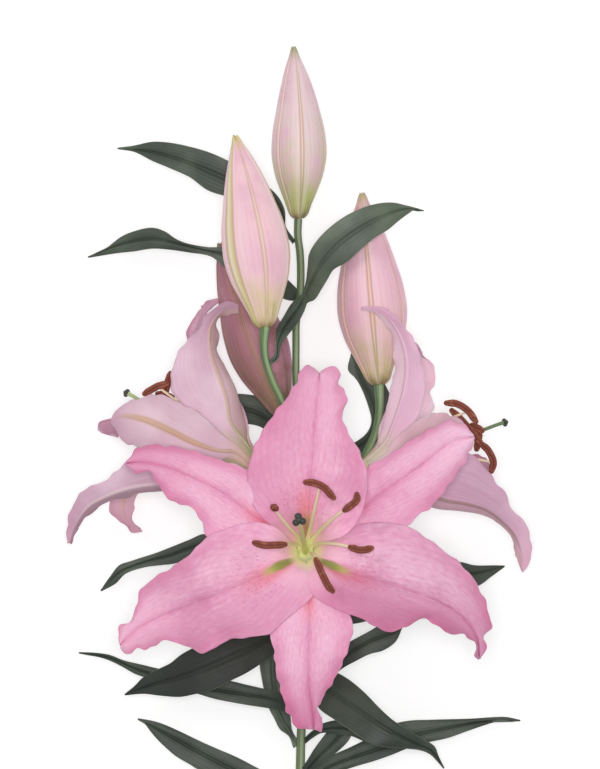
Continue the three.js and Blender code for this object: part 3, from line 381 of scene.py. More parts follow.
for flower, stations in FLOWER_STALKS.items():
    base, axis = (np.array(value, float) for value in FLOWERS[flower])
    receptacle = [(*(base + unit(axis) * height), radius) for height, radius in RECEPTACLE]
    add_stalk(f"{flower}_flower_stalk", stations + receptacle, receptacle_green)
for carried, stations in BUD_STALKS.items():
    add_stalk(f"{carried}_bud_stalk", stations, stalk_green)


# ---------------------------------------------------------------- buds
# A bud is three sepals closed over three petals. Each sepal has a raised keel down its middle, and
# its edges meet the next ones in a seam. It is green at the base and colours pink towards the tip.

# For each: base and tip, largest radius, how far its middle bows towards +X, and the angle of one keel
# from the side that faces up.
BUDS = {
    "top": ((-0.7, 174, 16.6), (-3.4, 267.5, 15.5), 15.4, 1.5, -6),
    "left": ((-19, 115, 61), (-35.3, 219, 56), 18.8, 1.4, 45),
    "back": ((-9.5, 68, 19.4), (-44, 161, 17.6), 17.2, 0, 10),
    "right": ((42.7, 84, 20.6), (33.6, 188.2, 19.4), 19.4, 0, 1),
}
# Way along a bud, and what part of the largest radius it has there.
BUD_PROFILE = [
    (0, 0.2), (0.012, 0.28), (0.03, 0.36), (0.08, 0.47), (0.16, 0.67), (0.27, 0.9), (0.38, 1),
    (0.5, 0.95), (0.62, 0.8), (0.74, 0.62), (0.84, 0.43), (0.93, 0.22), (1, 0.05),
]
BUD_ROWS = 110
BUD_SIDES = 108
KEEL_HEIGHT = 0.55
SEAM_STEP = 0.45                 # rise on one side of a seam and dip on the other
TIP_NOTCH = 2.4                  # depth of the gaps between the sepals' tips
TIP_FLARE = 0.35                 # part of the radius by which the tips stand out there
BROAD_KEELED = "left"            # the bud whose first keel is broader and greener
# For each bud: where its pink begins, and the colours of its base, lower part, body, keels below and
# above, and pale streaks.
BUD_COLOURS = {
    "top": (0.15, "62723a", "b0b96c", "dcbfc5", "8c9550", "c39b80", "efe2df"),
    "left": (0, "969a50", "cfc285", "e9bfc8", "bfbe62", "c8a070", "efe2df"),
    # The back bud's darker, duskier colours are painted shade: it lies low, in shade.
    "back": (0.08, "596030", "7c6447", "9c6572", "7c7a50", "85604f", "b08889"),
    "right": (0.06, "8b8a4e", "c8b88a", "e4b3c3", "a5a560", "cf9474", "f0dcdc"),
}


def smooth(value, low, high):
    """0 up to low, 1 from high, and an even S between."""
    part = np.clip((value - low) / (high - low), 0, 1)
    return part * part * (3 - 2 * part)


def ridge(distance, width):
    """1 on a line, and less and less beside it over a width."""
    return np.exp(-(distance / width) ** 2)


def bud_rings(base, tip, radius, bow, turn):
    base, tip = np.array(base, float), np.array(tip, float)
    axis = tip - base
    along = unit(axis)
    side = unit(np.cross((0, 0, 1), along))
    up = np.cross(along, side)
    profile = curve_through([(t, part, 0) for t, part in BUD_PROFILE])(np.linspace(0, 1, BUD_ROWS))
    third = 2 * np.pi / 3
    turned = np.linspace(0, 2 * np.pi, BUD_SIDES + 1)
    rings = []
    for t, part, _ in profile:
        reach = radius * part
        # Distance round the bud, in millimetres, from the nearest keel and the nearest seam.
        keel, seam = ((np.mod(turned / third + start, 1) - 0.5) * third * reach for start in (0.5, 0))
        width = 0.5 + 1.1 * part
        rib = ridge(keel, width) - 0.4 * ridge(np.abs(keel) - 2.1 * width, width)
        fold = np.tanh(seam / 0.35) * np.exp(-np.abs(seam) / 5) - 0.8 * ridge(seam, 0.7)
        shown = smooth(t, 0.0, 0.08) * (1 - 0.6 * smooth(t, 0.9, 1))
        free_tip = 1 + TIP_FLARE * smooth(t, 0.94, 1) * np.cos(3 * turned)
        round_part = reach * free_tip * (1 - 0.03 * (1 - np.cos(3 * turned)))
        out = round_part + shown * (KEEL_HEIGHT * rib + SEAM_STEP * fold) * min(1, part * 3)
        angle = turned + math.radians(turn)
        centre = base + axis * t - side * 4 * bow * t * (1 - t)
        # The sepals' tips stand free of each other.
        notch = np.outer(TIP_NOTCH * smooth(t, 0.965, 1) * (0.5 - 0.5 * np.cos(3 * turned)), along)
        rings.append(ring_at(centre - notch, out, angle, up, side))
    return np.array(rings)


def soft_tissue(weight, spread, scale=1.5):
    """The shader's values for a surface that lets light in: how much, and how far red, green and blue
    go in it, in parts of scale millimetres."""
    return {"Subsurface Weight": weight, "Subsurface Radius": spread, "Subsurface Scale": scale * MM}


def bud_finish(name, pink_from, colours, first_keel):
    """A bud's skin. first_keel is how much broader and greener the keel at the start of the UV map is."""
    base, lower, body, keel_below, keel_above, pale = colours
    material, tree = new_finish(name, 0.5, 0.35, soft_tissue(0.12, (1, 0.5, 0.5)))
    parts = add_node(tree, "SeparateXYZ", {0: piece_uv(tree)}).outputs
    thirds = maths(tree, "FRACT", summed(tree, 0.5, (parts[0], 3.0)))
    lines = lengthwise(tree, 16.0, vector=spread_out(tree, thirds, parts[1]))
    along, across, streak = lines["Along"], lines["Across"], lines["Streak"]
    cloud = grain(tree, 55)
    ragged = summed(tree, -0.4, (along, 1.0), (cloud, 0.5), (streak, 0.3))
    first = masked(tree, first_keel, (gap(tree, parts[0], 0.5), 0.3, 0.4))
    keel = coated(tree, keel_below, (keel_above, 1, (along, 0.25, 0.5)), (keel_below, 1, first))
    off_keel = maths(tree, "DIVIDE", across, summed(tree, 0.055, (first, 0.09)))
    colour = coated(
        tree, base,
        (lower, 1, (ragged, -0.02, 0.14)),
        (body, 1, (ragged, pink_from, pink_from + 0.42)),
        # A deeper lilac pink in clouds between the keels, paler beside them, with streaks and veins.
        ("d59bb8", 0.45, (across, 0.2, 0.6), (along, pink_from, pink_from + 0.32), (cloud, 0.4, 0.65)),
        (pale, 0.3, (across, 0.42, 0.1)),
        (pale, 0.25, (streak, 0.42, 0.66)),
        ("b87f94", 0.1, lines["Vein"]),
        # Brown streaks at the base, on each side of a keel.
        ("8c6a3c", 0.75, (across, 0.05, 0.3), (streak, 0.3, 0.6), (along, 0.14, 0.01)),
        # A keel, its paler crest and a fine darker line down each side of it.
        (keel, 0.65, (off_keel, 1.15, 0.75)),
        (pale, 0.5, (off_keel, 0.5, 0.15), (along, 0.15, 0.4)),
        ("b08458", 0.55, (off_keel, 0.6, 1.0), (off_keel, 1.6, 1.2)),
        # The seams between sepals, with a darker band beside each that is painted shade in the crease, and
        # the tip.
        (keel_above, 0.5, (across, 0.87, 0.95)),
        (pale, 0.5, (across, 0.95, 0.985)),
        (keel_below, 0.7, (along, 0.86, 1.0)),
    )
    return dress(material, colour, summed(tree, streak, (lines["Fine"], 1.0)), 0.2, 0.3)


for name, shape in BUDS.items():
    pink_from, *colours = BUD_COLOURS[name]
    skin = bud_finish(f"{name}_bud_skin", pink_from, colours, 1.0 if name == BROAD_KEELED else 0.0)
    # Laid the other way round the bud, so that its faces look outwards.
    bud = lay_grid(f"{name}_bud_piece", bud_rings(*shape)[:, ::-1], skin, closed=True)
    hand_over(bud, f"{name}_bud")


# ---------------------------------------------------------------- middle flower
# The open flower that faces up. Three broad petals lie over three narrower sepals. All are thin soft
# sheets with a groove down the middle, veins that fan out from it, and wavy edges towards the tips.
LEAN = (-0.02, 0.13)             # how far the flower's axis leans in x and y for each millimetre of height
FUNNEL_DEPTH = 56
FUNNEL_THROAT = 4.2
FUNNEL_FLARE = 5.6               # radius over which the funnel opens out
RIM_DROP, RIM_START, RIM_REACH = 22, 45, 60              # beyond that radius the petals curl down
TILT, TILT_RADIUS = 0.13, 50     # the whole face tips back towards +Y
SETTLING_STEPS, SETTLING_SHARE = 6, 0.8                  # towards the leaning funnel's height
WHORL_RADIUS = 4.4               # where the petals are attached
OUTER_STEP = 1.0                 # how far outside them the sepals are
MAIN_ROWS = 150
MAIN_COLUMNS = 73
PETAL_THICKEST = 1.4
EDGE_SHARE, BODY_SHARE, RIB_SHARE = 0.2, 0.35, 0.4       # parts of that thickness, added up
SWELL, GROOVE, RUFFLE, ROLL = 2.4, 0.7, 1.5, 0.8         # heights of a petal's waves
CRIMP = 0.35                     # how far the margins wave in and out
WAVE_START = 0.37                # each petal's waves start this part of a wave further on

# Plan outlines from the base outwards: the anticlockwise edge, the middle and the clockwise edge.
MAIN_PETALS = {
    "main_petal_top": (90, "petal",
        [(-8, 3), (-20, 12), (-28, 24), (-28, 37), (-24, 52), (-15, 67), (-5, 80), (0, 90), (4, 95),
         (10, 91)],
        [(4, 8), (5.5, 28), (7, 50), (8.5, 70), (10, 84), (10.5, 90.5)],
        [(13, -1), (24, 3), (32, 12), (36, 25), (36, 38), (31, 50), (25, 60), (23, 69), (26, 77),
         (21, 84), (22, 90), (16, 94), (11, 91)]),
    "main_petal_right": (-30, "petal",
        [(16, 1), (28, 8), (42, 10), (57, 8), (66, 3), (77, -5), (87, -13), (95, -23), (101, -36),
         (103, -47), (100, -51), (100, -59), (97, -64)],
        [(14, -12), (26, -17), (48, -23.5), (70, -31), (86, -40), (95, -52), (96.7, -63.7)],
        [(3.8, -15), (4.2, -21.5), (5.4, -26.5), (9, -31), (20, -37), (33, -42), (47, -49), (57, -46.5),
         (67, -42), (75, -47), (82, -50.5), (89, -51), (95, -57), (94, -62), (96.2, -64.5)]),
    "main_petal_left": (210, "petal",
        [(4.5, -15), (7.5, -21.5), (8.6, -27), (5.5, -31.5), (-1, -37.3), (-9, -44), (-16, -50),
         (-28, -52), (-40, -54), (-46, -58), (-52, -60.5), (-60, -57.5), (-71, -54), (-79, -56.5),
         (-83, -59.5), (-88, -58), (-94, -62), (-97, -58)],
        [(-10, -13), (-22, -19), (-45, -29), (-68, -38), (-85, -46), (-97, -56.5)],
        [(-6, 1), (-13, 7), (-24, 10), (-38, 7), (-50, 2), (-58, -6), (-67, -13), (-80, -21), (-86, -27),
         (-89, -38), (-91, -43), (-96, -45), (-98, -52), (-97.6, -55)]),
    "main_sepal_bottom": (270, "sepal",
        [(12, -22), (23, -34), (28.5, -45), (26, -58), (20, -72), (11, -87), (9.5, -92), (12.5, -98),
         (11.5, -103), (8.6, -102)],
        [(4, -22), (5, -40), (4.5, -60), (5, -80), (7, -94), (7.3, -101.8)],
        [(-7, -22), (-14, -36), (-16, -50), (-14, -60), (-13, -70), (-10, -82), (-6, -94), (-1, -101),
         (6, -101.8)]),
    "main_sepal_right": (30, "sepal",
        [(10, 12), (20, 28), (34, 38), (48, 46), (60, 54), (72, 61), (82, 64.5), (90, 61), (93.7, 57)],
        [(16, 4), (30, 15), (48, 28), (66, 41), (82, 53), (94, 56)],
        [(20, -2), (38, 3), (57, 7), (63, 13), (70, 17.5), (78, 27), (86, 38), (92, 48), (94.3, 55)]),
    "main_sepal_left": (150, "sepal",
        [(-16, -4), (-34, -2), (-50, 2), (-53, 10), (-59, 18), (-69, 21), (-76, 29), (-82, 37),
         (-90, 36.5), (-94, 40.5)],
        [(-12, 5), (-26, 14), (-42, 26), (-58, 34), (-74, 40), (-86, 42), (-94.2, 41.5)],
        [(-8, 14), (-18, 30), (-30, 39), (-45, 44), (-58, 48.5), (-72, 51), (-86, 50.5), (-91, 46),
         (-94, 42.5)]),
}
# Half of the angle that each kind takes at the base.
MAIN_SPANS = {"petal": 50, "sepal": 34}


def blade(edge_a, middle, edge_b, rows, columns):
    """A thin sheet between two edges. Across it the section is the parabola through both edges and the
    middle. Returns its points, how far across each is (-1 to 1) and how far along (0 to 1)."""
    along = np.linspace(0, 1, rows)
    across = np.linspace(-1, 1, columns)[None, :]
    a, m, b = (curve(along)[:, None, :] for curve in (edge_a, middle, edge_b))
    u = across[..., None]
    return m + u * (b - a) / 2 + u ** 2 * ((a + b) / 2 - m), across, along[:, None]


def funnel_height(x, y, back):
    """Height of the funnel over a plan point; back moves the sheet behind it. The funnel leans, so the
    height is settled in a few steps."""
    base_x, base_y, base_z = FLOWERS["main"][0]
    height = np.zeros_like(x)
    for _ in range(SETTLING_STEPS):
        dx = x - base_x - LEAN[0] * height
        dy = y - base_y - LEAN[1] * height
        radius = np.hypot(dx, dy) - back
        rise = FUNNEL_DEPTH * (1 - np.exp(-(radius - FUNNEL_THROAT) / FUNNEL_FLARE))
        drop = RIM_DROP * (np.maximum(0, radius - RIM_START) / RIM_REACH) ** 2
        tilt = TILT * dy * np.minimum(1, radius / TILT_RADIUS)
        height += SETTLING_SHARE * (rise - drop - back - tilt - height)
    return base_z + height


def how_far_back(kind, radius, across):
    """Petals overlap one way round, the clockwise edge in front. Sepals lie behind them."""
    if kind == "sepal":
        return OUTER_STEP + 2.2 * smooth(radius, 6, 16)
    return -1.5 * across * smooth(radius, 8, 20) * (1 - 0.6 * smooth(radius, 35, 75))


def ripple(along, across, times, turn, lag):
    """Waves along a sheet, which start at turn. Its two sides are lag before and after that."""
    return np.sin(2 * np.pi * (times * along + turn + lag * np.sign(across)))


def stretch(along, start, full, less, end):
    """0 up to start, 1 from full to less, and 0 from end."""
    return smooth(along, start, full) * (1 - smooth(along, less, end))


def gull_wing(across, along, turn):
    """How far a petal stands above its plain sheet: a groove down the middle, a swell on each side of
    it and wavy edges towards the tip."""
    out = np.abs(across)
    swell = SWELL * np.sin(np.pi * out ** 0.8) * smooth(along, 0.12, 0.4)
    groove = GROOVE * ridge(across, 0.035) * stretch(along, 0.04, 0.15, 0.75, 0.95)
    ruffle = RUFFLE * out ** 4 * ripple(along, across, 6.3, turn, 0.3) * smooth(along, 0.35, 0.65)
    roll = ROLL * np.sin(2 * np.pi * (1.4 * along + turn)) * across * smooth(along, 0.2, 0.5)
    return swell - groove + ruffle + roll


def thicken(piece, share, thickest):
    """Gives a sheet its thickness, behind its face. share is the part of it that each point has."""
    group = piece.vertex_groups.new(name="thickness")
    share = np.round(share.ravel(), 2)
    for level in np.unique(share):
        group.add(np.flatnonzero(share == level).tolist(), float(level), "REPLACE")
    wall = piece.modifiers.new("thickness", "SOLIDIFY")
    wall.thickness = thickest * MM
    wall.offset = -1
    wall.vertex_group = group.name
    wall.material_offset = wall.material_offset_rim = 1
    bpy.ops.object.modifier_apply(modifier=wall.name)
    bpy.ops.object.shade_smooth()


def petal_share(across, along):
    """A petal is thickest along the middle of its back and thins towards the edges."""
    rib = RIB_SHARE * ridge(across, 0.07) * (1 - 0.7 * smooth(along, 0.5, 1))
    return EDGE_SHARE + BODY_SHARE * (1 - np.abs(across) ** 4) + rib


def petal_face(name, colours, tip, flush, furrow, spotted, edge=0.5, side=(0, 0), margin="c4648f"):
    """The inside of a petal: silky, with fine veins that leave the midrib at a slope, a coral flush and a
    green furrow at the base, and small raised spots where spotted is above 0. colours are light, middle and
    deep, and tip is its colour at the tip. edge is how deep the edges are; side is the side that is painted
    deeper as shade, -1 or 1, and how deep. margin is the colour of the rolled edges near the tip."""
    light, middle, deep = colours
    shaded_side, shade_strength = side
    # Its emission makes the base glow a little: painted light that lifts the shade in the throat.
    plain = {"Sheen Weight": 0.08, "Emission Strength": 0.15, **soft_tissue(0.4, (1, 0.6, 0.6))}
    material, tree = new_finish(name, 0.5, 0.3, plain)
    lines = lengthwise(tree, 12.0, 0.6, 7.0)
    along, across = lines["Along"], lines["Across"]
    cloud = grain(tree, 24)
    mottle = noise(tree, spread_out(tree, lines["Side"], along, 15.0, 28.0), 1.0, 3.0)
    # Deeper at the edges and in clouds, and deeper still on one side as painted shade.
    deeper_and_shaded = masked(tree, edge, (across, 0.5, 1.0), (along, 0.15, 0.6))
    deeper_and_shaded = maths(tree, "MAXIMUM", deeper_and_shaded, masked(tree, 0.5, (cloud, 0.5, 0.68)))
    painted_side_mask = masked(tree, float(shaded_side), lines["Side"])
    deeper_and_shaded = maths(tree, "MAXIMUM", deeper_and_shaded, masked(tree, shade_strength, (painted_side_mask, -0.1, 0.5)))
    off_rib = gap(tree, lines["Side"], 0.06 * shaded_side)
    # Small spots near the base, a few to each row of cells.
    cell = spread_out(tree, lines["Side"], along, 15.0, 46.0)
    cells = add_node(tree, "TexVoronoi", {"Vector": cell, "Scale": 1.0}, voronoi_dimensions="2D")
    chance = add_node(tree, "SeparateColor", {0: cells.outputs["Color"]}).outputs[0]
    spots = masked(tree, spotted, (cells.outputs["Distance"], 0.3, 0.1), (chance, 0.5, 0.7),
                   (along, 0.1, 0.18), (along, 0.46, 0.24), (across, 0.75, 0.4))
    # The furrow that leads to the nectar has a ragged edge.
    low_down = between(tree, along, 0.16, 0.08)
    ragged = summed(tree, -0.06, (across, 1.0), (lines["Fine"], 0.12), (low_down, -0.07))
    nectar = coated(tree, "868d45", ("b6b75c", 1, (along, 0.1, 0.19)))
    colour = coated(
        tree, light,
        (middle, 1, (cloud, 0.38, 0.64)),
        # Paler halfway across, a painted sheen along the swell of each half, with paler streaks along the
        # veins and a mottle.
        ("e6bfd2", 0.3, (across, 0.08, 0.35), (across, 0.85, 0.5)),
        ("ecc9da", 0.16, (lines["Streak"], 0.4, 0.68)),
        ("f3d3e1", 0.2, (mottle, 0.5, 0.68)),
        (deep, 1, deeper_and_shaded),
        (tip, 0.6, (along, 0.6, 0.95)),
        (margin, 0.5, (across, 0.62, 1.0), (along, 0.5, 0.85)),
        (deep, 0.22, (mottle, 0.48, 0.32)),
        ("c06f98", 0.15, lines["Vein"]),
        # Paler towards the throat, painted light that lifts the throat's shade, with a coral flush beside
        # the midrib, a little towards the side painted as shade, then the midrib line itself.
        ("fbd0e0", 0.5, (along, 0.22, 0.04)),
        (flush, 0.85, (off_rib, 0.32, 0.02), (along, 0.42, 0.12)),
        ("c0608a", 0.4, (across, 0.022, 0.005), (along, 0.98, 0.7)),
        ("b9487a", 1, spots),
        (nectar, furrow, (ragged, 0.12, 0.04), (along, 0.22, 0.13)),
        # Pale cream at the very base, partly its own colour and partly painted light that lifts the shade
        # there.
        ("f1edc2", 1, (along, 0.06, 0.0)),
    )
    height = summed(tree, spots, (lines["Streak"], 1.0), (lines["Vein"], -0.4), (mottle, 0.6))
    # The base glows: painted light in the throat.
    return dress(material, colour, height, 0.3, 0.35, painted_glow=(along, 0.42, 0.12))


def petal_back(name, body, pale, rib_base, rib, rib_width, rib_share, under=(0, "b08a98"), end="c08aa6"):
    """The outside of a petal: paler and duller, with a soft coloured midrib that is green near the base, and
    close parallel veins. under is the side of the midrib that is painted darker as shade, or paler to lift
    shade, and its colour. end is the colour at the tip."""
    painted_side, painted_side_colour = under
    material, tree = new_finish(name, 0.55, 0.3, soft_tissue(0.15, (1, 0.45, 0.6)))
    lines = lengthwise(tree, 15.0, 0.5, 3.0)
    along, across = lines["Along"], lines["Across"]
    painted_side_mask = masked(tree, float(painted_side), lines["Side"])
    rib_colour = coated(tree, rib_base, (rib, 1, (along, 0.12, 0.45)))
    colour = coated(
        tree, body,
        (pale, 1, (grain(tree, 26), 0.38, 0.64)),
        (pale, 0.3, (lines["Streak"], 0.4, 0.68)),
        ("a87c92", 0.1, lines["Vein"]),
        (end, 0.5, (along, 0.6, 1.0)),
        # One side of the midrib painted darker as shade, or paler to lift shade.
        (painted_side_colour, 0.75 * abs(painted_side), (painted_side_mask, -0.1, 0.35)),
        (rib_colour, rib_share, (across, rib_width * 1.6, rib_width * 0.3), (along, 1.0, 0.75)),
        (rib_base, 0.8, (along, 0.26, 0.04)),
    )
    return dress(material, colour, summed(tree, lines["Streak"], (lines["Vein"], -0.5)), 0.18, 0.35)


def crimp(shape, across, along, turn, at_tip=0):
    """Waves the margins in and out within the sheet, and at_tip more of it near the tip."""
    columns = shape.shape[1]
    out = unit(shape - shape[:, columns // 2:columns // 2 + 1] + 1e-9)
    wave = ripple(along, across, 10.7, turn, 0.4) + 0.5 * np.sin(2 * np.pi * 17.3 * along)
    wave = wave * (1 + at_tip * smooth(along, 0.7, 0.9))
    reach = CRIMP * np.abs(across) ** 6 * wave * stretch(along, 0.25, 0.55, 0.95, 1)
    return shape + out * reach[..., None]


def main_petal_shape(angle, kind, anticlockwise, middle, clockwise, turn):
    base = FLOWERS["main"][0]
    radius = WHORL_RADIUS + (OUTER_STEP if kind == "sepal" else 0)
    curves = []
    for swing, outline in ((1, anticlockwise), (0, middle), (-1, clockwise)):
        at = math.radians(angle + swing * MAIN_SPANS[kind])
        start = (base[0] + radius * math.cos(at), base[1] + radius * math.sin(at))
        curves.append(curve_through([(x, y, 0) for x, y in [start, *outline]]))
    shape, across, along = blade(*curves, MAIN_ROWS, MAIN_COLUMNS)
    shape = crimp(shape, across, along, turn, at_tip=1)
    x, y = shape[..., 0], shape[..., 1]
    back = how_far_back(kind, np.hypot(x - base[0], y - base[1]), across)
    shape[..., 2] = funnel_height(x, y, back) + gull_wing(across, along, turn)
    return shape, petal_share(across, along)


# For each: colours, tip, flush, green furrow, spots, edge, the side painted deeper as shade and margin.
MAIN_FACES = {
    "main_petal_top": (("e4a6c3", "dd94b5", "cd7da2"), "eab2cd", "e2888a", 0.6, 0.5, 0.3, (-1, 0.45),
                       "d080a6"),
    "main_petal_right": (("dba2bf", "cb8aaa", "bd6e92"), "cb80a6", "be5a6e", 0.9, 0.5, 0.3, (1, 0.8)),
    "main_petal_left": (("e0a2bf", "d491b0", "c77b9f"), "fac0da", "d0727f", 0.95, 0.5, 0.3, (-1, 0.5)),
    "main_sepal_bottom": (("e4a9c5", "dc97b7", "cf7fa5"), "c9719b", "e47b82", 0.0, 0.2, 0.6),
    "main_sepal_right": (("e5a9c6", "de97b9", "cf7fa5"), "f7cce0", "ef9a9f", 0.0, 0.2, 0.5),
    "main_sepal_left": (("e6a8c4", "dd96b6", "cf7fa5"), "d685ab", "df6476", 0.0, 0.2, 0.6),
}
main_back = petal_back("main_petal_back", "d8a3bf", "e6c0d3", "b4ba70", "dca088", 0.1, 0.8)
for number, (name, (angle, kind, *outlines)) in enumerate(MAIN_PETALS.items()):
    shape, share = main_petal_shape(angle, kind, *outlines, turn=WAVE_START * number)
    petal = lay_grid(f"{name}_piece", shape, petal_face(f"{name}_face", *MAIN_FACES[name]), main_back)
    thicken(petal, share, PETAL_THICKEST)
    hand_over(petal, name)


# ---------------------------------------------------------------- side flowers
# Two open flowers that face away to the left and the right, so that mostly the backs of their petals
# are seen. The petals stand together as a tube at the base, then flare and curl.
SIDE_ROWS = 110
SIDE_COLUMNS = 49
SIDE_SPANS = {"petal": 35, "sepal": 24}
SIDE_GROOVE, SIDE_RUFFLE = 0.4, 0.9
SIDE_WAVE_START = 0.29
TUBE_HEIGHT = 11
TUBE_RADII = {"petal": 8.5, "sepal": 10}
